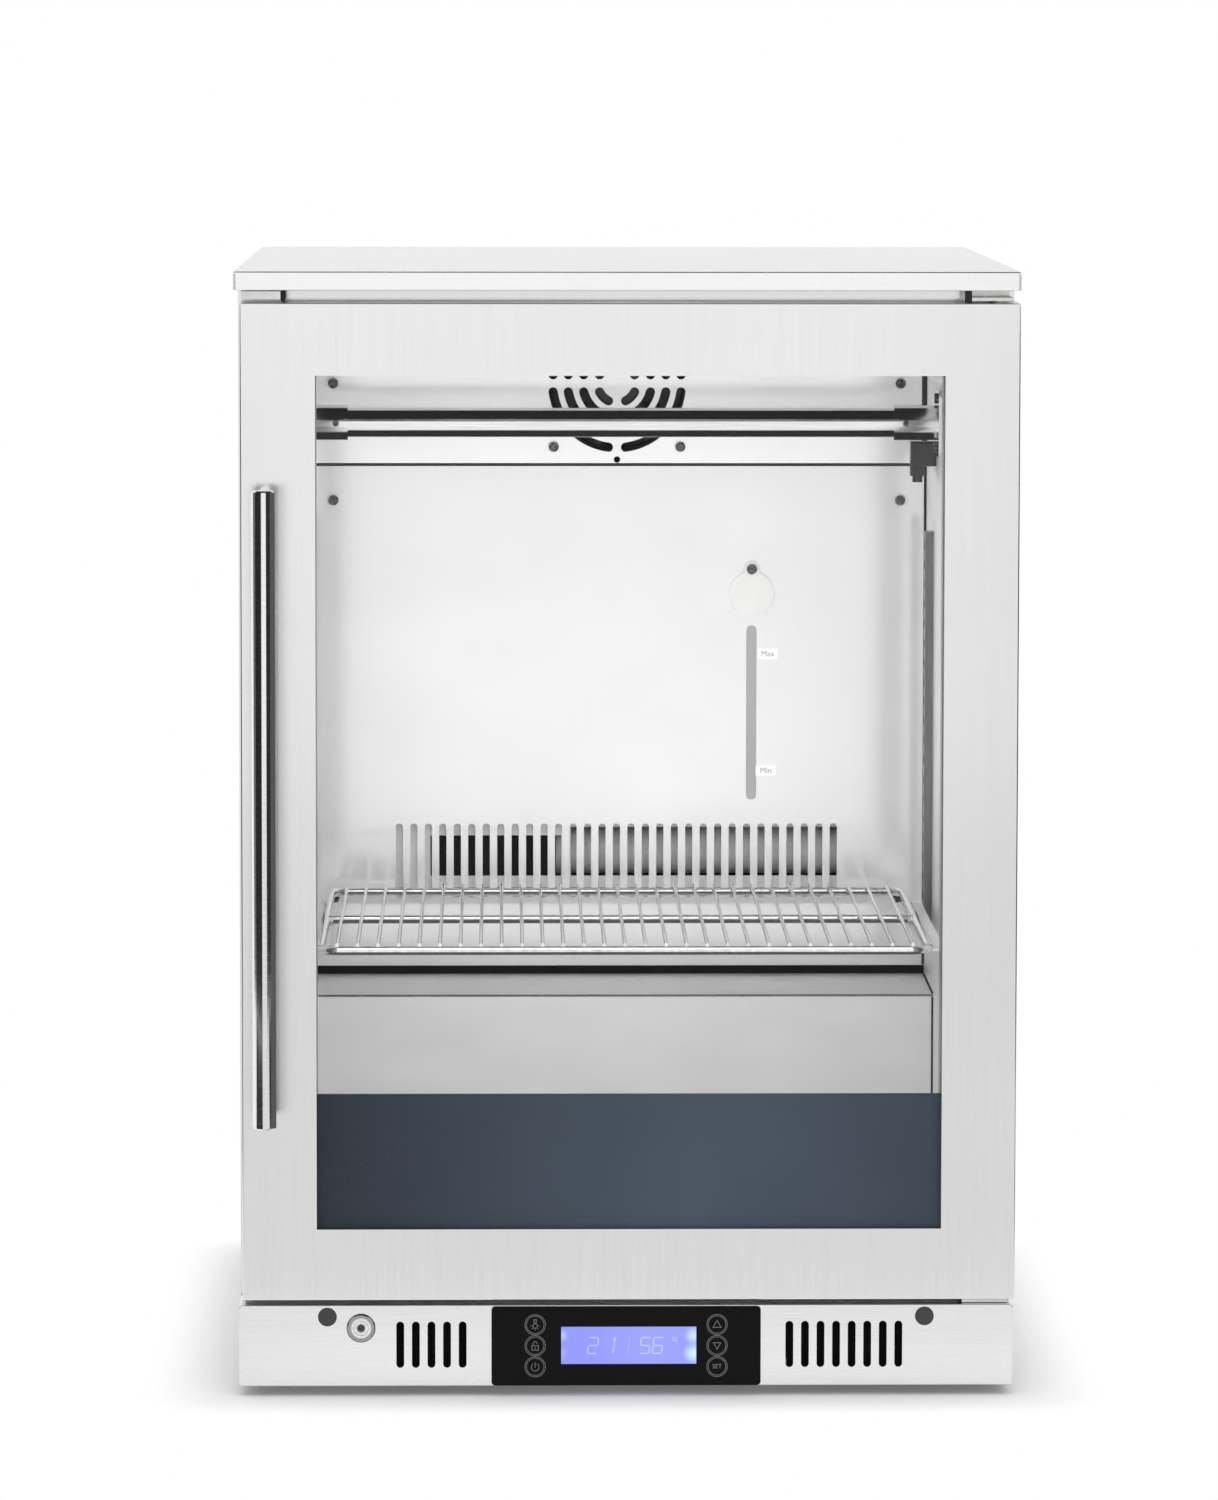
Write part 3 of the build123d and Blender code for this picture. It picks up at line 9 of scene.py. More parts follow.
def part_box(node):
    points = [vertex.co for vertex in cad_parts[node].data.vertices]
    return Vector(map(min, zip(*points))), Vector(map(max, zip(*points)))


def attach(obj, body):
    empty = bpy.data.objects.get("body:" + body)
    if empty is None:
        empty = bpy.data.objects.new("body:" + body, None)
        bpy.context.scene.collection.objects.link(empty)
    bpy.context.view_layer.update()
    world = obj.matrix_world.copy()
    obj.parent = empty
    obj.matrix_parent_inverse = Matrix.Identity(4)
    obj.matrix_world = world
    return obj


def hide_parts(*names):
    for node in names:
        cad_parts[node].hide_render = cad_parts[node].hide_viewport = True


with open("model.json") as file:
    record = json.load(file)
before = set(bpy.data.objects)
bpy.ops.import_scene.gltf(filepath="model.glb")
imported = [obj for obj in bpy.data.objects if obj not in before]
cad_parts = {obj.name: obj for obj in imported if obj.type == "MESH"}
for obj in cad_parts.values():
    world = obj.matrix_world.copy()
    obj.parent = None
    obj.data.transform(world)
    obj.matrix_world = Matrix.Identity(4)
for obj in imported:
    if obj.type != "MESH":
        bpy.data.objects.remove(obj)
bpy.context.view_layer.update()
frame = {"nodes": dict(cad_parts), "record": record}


def mm(length):
    return length / 1000


# Camera, solved from corners of the worktop, door, window and fascia in the photograph
shot = {
    "place": (mm(-97.5), mm(-5189.2), mm(1038.3)),
    "yaw": 0.9743,                 # degrees, towards the right
    "pitch": -4.6512,
    "roll": 0.0763,
    "lens": 155.2,                 # mm
    "sensorHigh": 36.0,            # mm
    "shiftUp": -0.12,              # share of the sensor's height
    "seesTo": 60.0,                # metres
}
yaw, pitch, roll = (math.radians(shot[turn]) for turn in ("yaw", "pitch", "roll"))
ahead = Vector((math.sin(yaw) * math.cos(pitch), math.cos(yaw) * math.cos(pitch), math.sin(pitch)))
level = Vector((math.cos(yaw), -math.sin(yaw), 0))
upright = level.cross(ahead)
sideways = level * math.cos(roll) + upright * math.sin(roll)
upward = upright * math.cos(roll) - level * math.sin(roll)
camera = bpy.data.objects.new("studioCamera", bpy.data.cameras.new("studioCamera"))
camera.data.sensor_fit = "VERTICAL"
camera.data.sensor_height = shot["sensorHigh"]
camera.data.lens = shot["lens"]
camera.data.shift_y = shot["shiftUp"]
camera.data.clip_end = shot["seesTo"]
aim = Matrix((sideways, upward, -ahead)).transposed().to_4x4()
camera.matrix_world = Matrix.Translation(shot["place"]) @ aim
bpy.context.scene.collection.objects.link(camera)
bpy.context.scene.camera = camera
bpy.context.scene.view_settings.view_transform = "Standard"
print("Camera placed")


# Colours are written as sRGB hex, and this turns them to linear
def linear(hexColour):
    channels = [int(hexColour[i:i + 2], 16) / 255 for i in (1, 3, 5)]
    return [c / 12.92 if c <= 0.04045 else ((c + 0.055) / 1.055) ** 2.4 for c in channels] + [1.0]


def newMaterial(name):
    material = bpy.data.materials.new(name)
    material.use_nodes = True
    material.node_tree.nodes.clear()
    return material, material.node_tree


# Adds a node, sets what it is told and links what comes from another node
def addNode(tree, kind, inputs=None, **settings):
    made = tree.nodes.new(kind)
    for name, value in settings.items():
        setattr(made, name, value)
    for socket, value in (inputs or {}).items():
        if isinstance(value, bpy.types.NodeSocket):
            tree.links.new(value, made.inputs[socket])
        else:
            made.inputs[socket].default_value = value
    return made


# Noise in the object's own frame. patchMm is how long its patches are along X, Y and Z, and shift moves
# it, so that two noises of one finish don't lie on each other
def unevenness(tree, patchMm, detail=2.0, shift=0.0):
    spot = addNode(tree, "ShaderNodeTexCoord").outputs["Object"]
    stretched = addNode(tree, "ShaderNodeMapping", {
        "Vector": spot, "Location": (shift, shift, shift), "Scale": [1000 / size for size in patchMm]})
    noise = addNode(tree, "ShaderNodeTexNoise", {
        "Vector": stretched.outputs["Vector"], "Scale": 1.0, "Detail": detail})
    return noise.outputs["Fac"]


noiseMiddle = (0.3, 0.7)           # nearly all of a noise lies between these


# From one tone to another as a value rises over a reach, up to the share given
def shaded(tree, value, first, second, share=1.0, reach=noiseMiddle, **settings):
    amount = addNode(tree, "ShaderNodeMapRange", {
        "Value": value, "From Min": reach[0], "From Max": reach[1], "To Max": share}, **settings)
    return addNode(tree, "ShaderNodeMix", {
        0: amount.outputs[0], 6: first, 7: second}, data_type="RGBA").outputs[2]


# Another tone for all that lies further back than a place on Y
def shadedBehind(tree, tone, rearTone, rearFrom):
    spot = addNode(tree, "ShaderNodeTexCoord").outputs["Object"]
    place = addNode(tree, "ShaderNodeSeparateXYZ", {"Vector": spot})
    behind = addNode(tree, "ShaderNodeMath", {0: place.outputs["Y"], 1: rearFrom},
                     operation="GREATER_THAN")
    return addNode(tree, "ShaderNodeMix", {
        0: behind.outputs[0], 6: tone, 7: rearTone}, data_type="RGBA").outputs[2]


# Ends a material: its roughness follows one value, and its bumps, where it has any, another
def surfaced(material, finish, tone, value, inputs, height=None, reach=noiseMiddle):
    tree = material.node_tree
    roughness = addNode(tree, "ShaderNodeMapRange", {
        "Value": value, "From Min": reach[0], "From Max": reach[1],
        "To Min": finish["roughness"][0], "To Max": finish["roughness"][1]})
    inputs = {"Base Color": tone, "Roughness": roughness.outputs[0], **inputs}
    if height is not None:
        inputs["Normal"] = addNode(tree, "ShaderNodeBump", {
            "Height": height, "Distance": mm(finish["depthMm"]), "Strength": finish["bump"]}).outputs[0]
    shader = addNode(tree, "ShaderNodeBsdfPrincipled", inputs)
    addNode(tree, "ShaderNodeOutputMaterial", {"Surface": shader.outputs[0]})
    return material


strokesPerBand = 5                 # a band of brushed steel runs on over several strokes of the belt


# Steel sheet with a belt-brushed grain along one axis
def brushedSteel(finish):
    material, tree = newMaterial(finish["name"])
    along = "XYZ".index(finish["grain"])
    hairSize = [finish["hairMm"]] * 3
    hairSize[along] = finish["strokeMm"]
    bandSize = [finish["bandMm"]] * 3
    bandSize[along] = finish["strokeMm"] * strokesPerBand
    hair = unevenness(tree, hairSize, detail=3.0, shift=1.3)
    band = unevenness(tree, bandSize, shift=7.1)
    cloud = unevenness(tree, [finish["cloudMm"]] * 3, shift=4.7)
    dark, light = linear(finish["dark"]), linear(finish["light"])
    hairTone = shaded(tree, hair, dark, light)
    bandTone = shaded(tree, band, hairTone, light, finish["bandShare"])
    tone = shaded(tree, cloud, bandTone, dark, finish["cloudShare"])
    tangent = addNode(tree, "ShaderNodeTangent", direction_type="RADIAL", axis=finish["grain"])
    return surfaced(material, finish, tone, hair, {
        "Metallic": 1.0, "Anisotropic": finish["anisotropy"], "Tangent": tangent.outputs[0]}, height=hair)


# Smooth metal: rolled, drawn, plated or polished, with faint waves and wiping marks
def smoothMetal(finish):
    material, tree = newMaterial(finish["name"])
    wipe = unevenness(tree, finish["wipeMm"], detail=4.0, shift=2.9)
    wave = unevenness(tree, [finish["waveMm"]] * 3, shift=8.3)
    tone = shaded(tree, wipe, linear(finish["dark"]), linear(finish["light"]))
    if "paintedShadeTone" in finish:     # painted shade: all that lies further back than the given place on Y takes a dark tone
        tone = shadedBehind(tree, tone, linear(finish["paintedShadeTone"]), finish["paintedShadeFrom"])
    return surfaced(material, finish, tone, wipe, {"Metallic": finish.get("metallic", 1.0)}, height=wave)


# Hot-dip zinc on steel sheet, whose crystals show as grey flakes
def zincCoating(finish):
    material, tree = newMaterial(finish["name"])
    spot = addNode(tree, "ShaderNodeTexCoord").outputs["Object"]
    flakes = addNode(tree, "ShaderNodeTexVoronoi", {"Vector": spot, "Scale": 1000 / finish["flakeMm"]})
    flake = addNode(tree, "ShaderNodeSeparateColor", {"Color": flakes.outputs["Color"]}).outputs[0]
    frost = unevenness(tree, [finish["frostMm"]] * 3, detail=4.0)
    flakeTone = shaded(tree, flake, linear(finish["dark"]), linear(finish["light"]), reach=(0.0, 1.0))
    tone = shaded(tree, frost, flakeTone, linear(finish["frost"]), finish["frostShare"])
    return surfaced(material, finish, tone, flake, {"Metallic": 1.0}, height=frost, reach=(0.0, 1.0))


skinCloud = 0.4                    # share of the dark tone in the clouds of a solid skin


# Everything that isn't bare metal or clear glass: moulded, painted, foamed or vulcanised
def solidSkin(finish):
    material, tree = newMaterial(finish["name"])
    grain = unevenness(tree, [finish["grainMm"]] * 3, detail=3.0, shift=3.3)
    cloud = unevenness(tree, [finish["cloudMm"]] * 3, shift=6.1)
    dark = linear(finish["dark"])
    grainTone = shaded(tree, grain, dark, linear(finish["light"]))
    tone = shaded(tree, cloud, grainTone, dark, skinCloud)
    return surfaced(material, finish, tone, grain, {
        "IOR": finish["ior"], "Specular IOR Level": finish.get("specular", 0.5),
        "Subsurface Weight": finish.get("subsurface", 0.0),
        "Subsurface Scale": mm(finish.get("scatterMm", 1.0))}, height=grain)


skins = {}        # material slot of the record: Blender material

# Stainless steel 1.4301, brushed along X: the worktop. Pale, with fine level lines
skins["worktop_steel"] = brushedSteel({
    "name": "stainlessSteelBrushedWorktop", "grain": "X", "light": "#fcfcfb", "dark": "#f2f2f2",
    "hairMm": 0.9,                 # the real hairs are 0.1 mm; drawn coarser so that they show
    "strokeMm": 70.0, "bandMm": 9.0, "bandShare": 0.5, "cloudMm": 160.0, "cloudShare": 0.35,
    "depthMm": 0.02, "bump": 0.25, "roughness": (0.2, 0.3), "anisotropy": 0.5})

# Stainless steel sheet, brushed along Z: the sides and the hidden sheets of the case
skins["case_steel"] = brushedSteel({
    "name": "stainlessSteelBrushedCase", "grain": "Z", "light": "#dfdfdf", "dark": "#cdcdce",
    "hairMm": 0.9, "strokeMm": 80.0, "bandMm": 11.0, "bandShare": 0.5, "cloudMm": 220.0,
    "cloudShare": 0.4, "depthMm": 0.02, "bump": 0.3, "roughness": (0.26, 0.36), "anisotropy": 0.5})

# Stainless steel, brushed along Z: the door. Satin, upright hairs and broad soft bands
skins["door_steel"] = brushedSteel({
    "name": "stainlessSteelBrushedDoor", "grain": "Z", "light": "#f0f0ef", "dark": "#e6e6e7",
    "hairMm": 0.45, "strokeMm": 40.0, "bandMm": 6.0, "bandShare": 0.5, "cloudMm": 150.0,
    "cloudShare": 0.35, "depthMm": 0.012, "bump": 0.2, "roughness": (0.15, 0.23), "anisotropy": 0.5})

# Stainless steel, brushed along X: the fascia. Brighter than the door
skins["fascia_steel"] = brushedSteel({
    "name": "stainlessSteelBrushedFascia", "grain": "X", "light": "#f2f2f2", "dark": "#e4e4e4",
    "hairMm": 0.8, "strokeMm": 60.0, "bandMm": 7.0, "bandShare": 0.4, "cloudMm": 120.0,
    "cloudShare": 0.3, "depthMm": 0.02, "bump": 0.25, "roughness": (0.2, 0.3), "anisotropy": 0.5})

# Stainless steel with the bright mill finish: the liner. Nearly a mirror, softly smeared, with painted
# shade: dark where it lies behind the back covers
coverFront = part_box("evaporator_cover")[0].y
skins["liner_steel"] = smoothMetal({
    "name": "stainlessSteelBrightLiner", "light": "#f7f7f7", "dark": "#f1f1f1",
    "wipeMm": (60.0, 60.0, 25.0), "waveMm": 120.0, "depthMm": 0.1, "bump": 0.2,
    "roughness": (0.44, 0.52), "paintedShadeTone": "#242424", "paintedShadeFrom": coverFront + mm(3.0),
    "metallic": 0.7})              # under 1, for the soft milky part of a mill finish

# Stainless strip, punched: the toothed strips on the side walls. Grey, seen along their edges
stripSteel = smoothMetal({
    "name": "stainlessStripPunched", "light": "#8f8f8f", "dark": "#7c7c7d",
    "wipeMm": (3.0, 3.0, 60.0), "waveMm": 60.0, "depthMm": 0.03, "bump": 0.1, "roughness": (0.2, 0.26)})

# Stainless steel, bright and rolled finer: the lower back cover. It mirrors the shelf, but only faintly
coverFinish = {
    "name": "stainlessSteelBrightCover", "light": "#eaeaea", "dark": "#e5e5e5",
    "wipeMm": (120.0, 120.0, 60.0), "waveMm": 300.0, "depthMm": 0.01, "bump": 0.03,
    "roughness": (0.1, 0.12), "metallic": 0.36,
}
skins["cover_steel"] = smoothMetal(coverFinish)

# The same sheet with painted light, a little brighter for the light that falls stronger at the top: the
# upper back cover
fanCoverSteelPaintedLight = smoothMetal({
    **coverFinish, "name": "stainlessSteelUpperCoverPaintedLight", "light": "#fafafa", "dark": "#f4f4f4"})

# Stainless tube, polished on a wheel: the handle. A mirror with faint rings across it
skins["handle_steel"] = smoothMetal({
    "name": "stainlessTubePolished", "light": "#f6f6f6", "dark": "#e4e4e4",
    "wipeMm": (6.0, 6.0, 0.7),     # the real rings are 0.05 mm; drawn coarser so that they show
    "waveMm": 60.0, "depthMm": 0.02, "bump": 0.1, "roughness": (0.06, 0.13)})

# Drawn stainless tube, satin: the hanging rod and its sockets
skins["rod_steel"] = smoothMetal({
    "name": "stainlessTubeDrawn", "light": "#f8f8f8", "dark": "#e6e6e6",
    "wipeMm": (40.0, 0.8, 0.8), "waveMm": 50.0, "depthMm": 0.02, "bump": 0.1,
    "roughness": (0.08, 0.16)})

# Stainless wire, welded and electropolished: the shelf. Bright, a little uneven
skins["wire_steel"] = smoothMetal({
    "name": "stainlessWireElectropolished", "light": "#f6f6f5", "dark": "#dadad9",
    "wipeMm": (5.0, 5.0, 5.0), "waveMm": 12.0, "depthMm": 0.04, "bump": 0.2,
    "roughness": (0.06, 0.14)})

# Stainless screws, cold headed: small, painted dark grey as a painted reflection of the dark they mirror,
# darker than the sheet round them
skins["screw_steel"] = smoothMetal({
    "name": "stainlessScrewColdHeaded", "light": "#8a8a8a", "dark": "#303031",
    "wipeMm": (1.2, 1.2, 1.2), "waveMm": 3.0, "depthMm": 0.05, "bump": 0.4,
    "roughness": (0.22, 0.38)})

# Stamped steel, nickel plated: hinge brackets and the blank. Grey satin
skins["hinge_steel"] = smoothMetal({
    "name": "steelStampedNickel", "light": "#e0dfde", "dark": "#cccbca",
    "wipeMm": (8.0, 8.0, 4.0), "waveMm": 14.0, "depthMm": 0.03, "bump": 0.2,
    "roughness": (0.16, 0.26)})

# Turned steel pins, zinc plated: fine rings round them
skins["pin_steel"] = smoothMetal({
    "name": "steelPinTurned", "light": "#c9c9cb", "dark": "#a2a3a6",
    "wipeMm": (4.0, 4.0, 0.6), "waveMm": 5.0, "depthMm": 0.02, "bump": 0.4,
    "roughness": (0.18, 0.32)})


# Zinc die casting, turned and chrome plated, in rings round the lock's axis
def turnedChrome(finish):
    material, tree = newMaterial(finish["name"])
    spot = addNode(tree, "ShaderNodeTexCoord").outputs["Object"]
    flat = addNode(tree, "ShaderNodeVectorMath", {0: spot, 1: (1.0, 0.0, 1.0)}, operation="MULTIPLY")
    fromAxis = addNode(tree, "ShaderNodeVectorMath", {0: flat.outputs[0], 1: finish["axis"]},
                       operation="DISTANCE")
    tone = linear(finish["rings"][0][1])
    for radiusMm, colour in finish["rings"][1:]:
        soft = finish["ringSoftMm"]
        tone = shaded(tree, fromAxis.outputs["Value"], tone, linear(colour),
                      reach=(mm(radiusMm - soft), mm(radiusMm + soft)))
    wipe = unevenness(tree, [finish["wipeMm"]] * 3, detail=3.0)
    tone = shaded(tree, wipe, tone, linear(finish["haze"]), finish["hazeShare"])
    return surfaced(material, finish, tone, wipe, {"Metallic": 1.0})


lockLow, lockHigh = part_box("lock_housing")
lockAxis = ((lockLow.x + lockHigh.x) / 2, 0.0, (lockLow.z + lockHigh.z) / 2)

# The lock: pale face with fine rings. The dark keyway is painted shade, and the dark rings and the darker
# rim round it are painted reflections
skins["lock_chrome"] = turnedChrome({
    "name": "zincCastChromed", "axis": lockAxis, "wipeMm": 2.0, "haze": "#9a9a9a", "hazeShare": 0.3,
    "ringSoftMm": 0.15, "roughness": (0.12, 0.24),
    # Radius where each ring starts, mm, and its tone
    "rings": ((0.0, "#242424"), (2.5, "#7c7c7c"), (3.3, "#ececec"), (5.4, "#a8a8a8"), (5.8, "#f0f0f0"),
              (7.4, "#b4b4b4"), (7.8, "#dddddd"), (8.3, "#666666"), (8.8, "#a8a8a8"), (10.3, "#686868"))})

# Aluminium fins and end plates as rolled: the two coils. Dull silver with a blue cast
skins["coil_aluminium"] = smoothMetal({
    "name": "aluminiumFinRolled", "light": "#cfd3d6", "dark": "#aeb3b7",
    "wipeMm": (9.0, 9.0, 2.0), "waveMm": 4.0, "depthMm": 0.15, "bump": 0.5,
    "roughness": (0.32, 0.48)})

# Aluminium spacer bar, anodised: the edge between the two panes
skins["spacer_aluminium"] = smoothMetal({
    "name": "aluminiumSpacerAnodised", "light": "#b4b7ba", "dark": "#989b9f",
    "wipeMm": (12.0, 12.0, 12.0), "waveMm": 20.0, "depthMm": 0.04, "bump": 0.3,
    "roughness": (0.35, 0.48)})

# Copper tube, drawn and left bare: warm, with brown clouds where it has tarnished
skins["copper"] = smoothMetal({
    "name": "copperTubeTarnished", "light": "#d98f6a", "dark": "#9a5a3c",
    "wipeMm": (14.0, 14.0, 14.0), "waveMm": 8.0, "depthMm": 0.05, "bump": 0.4,
    "roughness": (0.22, 0.42)})

# Hot-dip galvanised steel: the rear panel and the base pan. Grey crystals 8 mm wide
skins["galvanised_steel"] = zincCoating({
    "name": "steelHotDipGalvanised", "light": "#c3c7ca", "dark": "#a3a8ac", "frost": "#b9bdc0",
    "flakeMm": 8.0, "frostMm": 1.5, "frostShare": 0.35, "depthMm": 0.05, "bump": 0.3,
    "roughness": (0.34, 0.5)})

# Steel sheet, lacquered silver grey: the front frame and the rail above the door. A soft metallic shine
skins["frame_plastic"] = smoothMetal({
    "name": "steelLacqueredSilver", "light": "#f6f6f5", "dark": "#eeeeed", "wipeMm": (60.0, 1.5, 1.5),
    "waveMm": 60.0, "depthMm": 0.01, "bump": 0.05, "roughness": (0.18, 0.24), "metallic": 0.85})

# Polyurethane foam, blown in place: pale yellow cells
skins["foam"] = solidSkin({
    "name": "polyurethaneFoamBlown", "light": "#e9dfb4", "dark": "#d2c48e", "grainMm": 0.8,
    "cloudMm": 40.0, "depthMm": 0.4, "bump": 0.8, "ior": 1.5, "roughness": (0.8, 0.95)})

# PVC, extruded: the profile inside the door. Mid grey and smooth
skins["door_plastic"] = solidSkin({
    "name": "pvcProfileExtruded", "light": "#a6a6a4", "dark": "#9a9a98", "grainMm": 1.2,
    "cloudMm": 60.0, "depthMm": 0.03, "bump": 0.2, "ior": 1.53, "roughness": (0.3, 0.42)})

# Soft PVC, extruded and welded at the corners: the gasket. Mid grey with a waxy shine
skins["gasket_rubber"] = solidSkin({
    "name": "pvcGasketExtruded", "light": "#8d8f92", "dark": "#787a7d", "grainMm": 0.9,
    "cloudMm": 30.0, "depthMm": 0.04, "bump": 0.3, "ior": 1.52, "roughness": (0.42, 0.58)})

# Nylon, moulded: the hinge bushes. Milky white
skins["bush_nylon"] = solidSkin({
    "name": "nylonBushMoulded", "light": "#e9e7df", "dark": "#dcdad1", "grainMm": 0.5,
    "cloudMm": 8.0, "depthMm": 0.02, "bump": 0.2, "ior": 1.53, "roughness": (0.34, 0.46),
    "subsurface": 0.15, "scatterMm": 1.5})

# ABS, moulded with a fine spark texture: the two round plugs. Charcoal
skins["plug_plastic"] = solidSkin({
    "name": "absPlugMoulded", "light": "#4a4a4a", "dark": "#3a3a3a", "grainMm": 0.4,
    "cloudMm": 6.0, "depthMm": 0.03, "bump": 0.3, "ior": 1.54, "roughness": (0.42, 0.55),
    "specular": 0.25})

# Polypropylene, moulded: pads and stems of the feet. Black, matt
skins["foot_plastic"] = solidSkin({
    "name": "polypropyleneFootMoulded", "light": "#262626", "dark": "#1b1b1b", "grainMm": 0.6,
    "cloudMm": 12.0, "depthMm": 0.04, "bump": 0.3, "ior": 1.49, "roughness": (0.5, 0.65)})

# Glass-filled nylon, moulded: fan frames and wheels. Black with a dull sheen
skins["fan_plastic"] = solidSkin({
    "name": "nylonFanMoulded", "light": "#242526", "dark": "#18191a", "grainMm": 0.8,
    "cloudMm": 20.0, "depthMm": 0.03, "bump": 0.3, "ior": 1.53, "roughness": (0.38, 0.52)})

# Polyethylene, blow moulded: the water tank. Milky
skins["tank_plastic"] = solidSkin({
    "name": "polyethyleneTankBlown", "light": "#e6e8e6", "dark": "#d5d8d6", "grainMm": 2.5,
    "cloudMm": 50.0, "depthMm": 0.1, "bump": 0.3, "ior": 1.51, "roughness": (0.36, 0.5),
    "subsurface": 0.2, "scatterMm": 4.0})

# Polycarbonate, extruded and tinted: the level gauge. Mid grey, satin
skins["gauge_plastic"] = solidSkin({
    "name": "polycarbonateGaugeExtruded", "light": "#aaaaaa", "dark": "#a0a0a0", "grainMm": 1.0,
    "cloudMm": 30.0, "depthMm": 0.02, "bump": 0.2, "ior": 1.58, "roughness": (0.3, 0.42),
    "specular": 0.3})

# Acetal, moulded: the round fill cover. White, hardly darker than the steel behind it
skins["fill_plastic"] = solidSkin({
    "name": "acetalCoverMoulded", "light": "#e5e5e4", "dark": "#dcdcda", "grainMm": 0.6,
    "cloudMm": 14.0, "depthMm": 0.02, "bump": 0.2, "ior": 1.48, "roughness": (0.34, 0.46)})

# ABS, moulded: the sensor's box and gland. Black, satin
skins["sensor_plastic"] = solidSkin({
    "name": "absSensorMoulded", "light": "#39393b", "dark": "#262628", "grainMm": 0.5,
    "cloudMm": 8.0, "depthMm": 0.03, "bump": 0.3, "ior": 1.54, "roughness": (0.26, 0.38)})

# Polypropylene, moulded: the drip tray over the compressor
skins["tray_plastic"] = solidSkin({
    "name": "polypropyleneTrayMoulded", "light": "#3a3d40", "dark": "#2c2e31", "grainMm": 0.8,
    "cloudMm": 30.0, "depthMm": 0.04, "bump": 0.3, "ior": 1.49, "roughness": (0.42, 0.56)})

# Thermoset, moulded: the power inlet. Black and slightly glossy
skins["inlet_plastic"] = solidSkin({
    "name": "phenolicInletMoulded", "light": "#1f1f1f", "dark": "#141414", "grainMm": 0.5,
    "cloudMm": 9.0, "depthMm": 0.02, "bump": 0.3, "ior": 1.6, "roughness": (0.26, 0.4)})

# Natural rubber, vulcanised: the compressor's mounts
skins["mount_rubber"] = solidSkin({
    "name": "rubberMountVulcanised", "light": "#232221", "dark": "#161615", "grainMm": 0.7,
    "cloudMm": 10.0, "depthMm": 0.08, "bump": 0.4, "ior": 1.52, "roughness": (0.66, 0.82)})

# Steel shell, dip painted black: the compressor. Gloss with orange peel
skins["compressor_enamel"] = solidSkin({
    "name": "steelShellEnamelled", "light": "#1c1d1f", "dark": "#101112", "grainMm": 2.2,
    "cloudMm": 40.0, "depthMm": 0.12, "bump": 0.4, "ior": 1.52, "roughness": (0.2, 0.34)})

# Woven glass and epoxy board with green solder mask
skins["circuit_board"] = solidSkin({
    "name": "epoxyBoardMasked", "light": "#1d6b3e", "dark": "#12502c", "grainMm": 1.1,
    "cloudMm": 12.0, "depthMm": 0.03, "bump": 0.4, "ior": 1.55, "roughness": (0.28, 0.4)})

# Acrylic, opal: the diffuser of the ceiling lamp. White and soft
skins["lamp_diffuser"] = solidSkin({
    "name": "acrylicDiffuserOpal", "light": "#f6f5ef", "dark": "#efeee7", "grainMm": 1.5,
    "cloudMm": 60.0, "depthMm": 0.02, "bump": 0.15, "ior": 1.49, "roughness": (0.3, 0.42),
    "subsurface": 0.3, "scatterMm": 3.0})

# Black float glass, printed from behind: the control panel. Deep black, hardly a reflection
skins["black_glass"] = solidSkin({
    "name": "floatGlassPrintedBlack", "light": "#080809", "dark": "#050506", "grainMm": 30.0,
    "cloudMm": 60.0, "depthMm": 0.01, "bump": 0.05, "ior": 1.52, "roughness": (0.04, 0.08),
    "specular": 0.1})


# Float glass with an anti-reflective coating: both panes. Clear, with hardly a reflection
def clearPane(finish):
    material, tree = newMaterial(finish["name"])
    film = unevenness(tree, [finish["filmMm"]] * 3)
    light = linear(finish["light"])
    tint = shaded(tree, film, light, linear(finish["tint"]))
    glass = addNode(tree, "ShaderNodeBsdfPrincipled", {
        "Base Color": tint, "Roughness": 0.0, "IOR": finish["ior"], "Transmission Weight": 1.0})
    clear = addNode(tree, "ShaderNodeBsdfTransparent", {"Color": light})
    ray = addNode(tree, "ShaderNodeLightPath")
    lampLit = addNode(tree, "ShaderNodeMixShader", {
        0: ray.outputs["Is Shadow Ray"], 1: glass.outputs[0], 2: clear.outputs[0]})
    pane = addNode(tree, "ShaderNodeMixShader", {
        0: ray.outputs["Is Diffuse Ray"], 1: lampLit.outputs[0], 2: clear.outputs[0]})
    addNode(tree, "ShaderNodeOutputMaterial", {"Surface": pane.outputs[0]})
    return material


skins["clear_glass"] = clearPane({
    "name": "floatGlassCoated", "light": "#ffffff", "tint": "#fdfdfd", "filmMm": 180.0,
    "ior": 1.12})                  # plain float glass is 1.52; lower here, as the coating takes its shine


# Enamel on a steel plate: slate blue in front, lighter in the middle with a painted reflection across it,
# and pale grey behind
def bandEnamel(finish):
    material, tree = newMaterial(finish["name"])
    spot = addNode(tree, "ShaderNodeTexCoord").outputs["Object"]
    place = addNode(tree, "ShaderNodeSeparateXYZ", {"Vector": spot})
    across = addNode(tree, "ShaderNodeMapRange", {
        "Value": place.outputs["X"], "From Min": mm(finish["leftMm"]), "From Max": mm(finish["rightMm"])})
    ramp = addNode(tree, "ShaderNodeValToRGB", {"Fac": across.outputs[0]})
    left, paintedSheen, right = (linear(tone) for tone in finish["tones"])
    ramp.color_ramp.elements[0].color = left
    ramp.color_ramp.elements[1].color = right
    ramp.color_ramp.elements.new(finish["paintedSheenShare"]).color = paintedSheen
    cloud = unevenness(tree, [finish["cloudMm"]] * 3, detail=3.0)
    tone = shaded(tree, cloud, ramp.outputs[0], left, finish["cloudShare"])
    tone = shadedBehind(tree, tone, linear(finish["back"]), finish["backFrom"])
    return surfaced(material, finish, tone, cloud, {
        "IOR": finish["ior"], "Specular IOR Level": finish["specular"]})


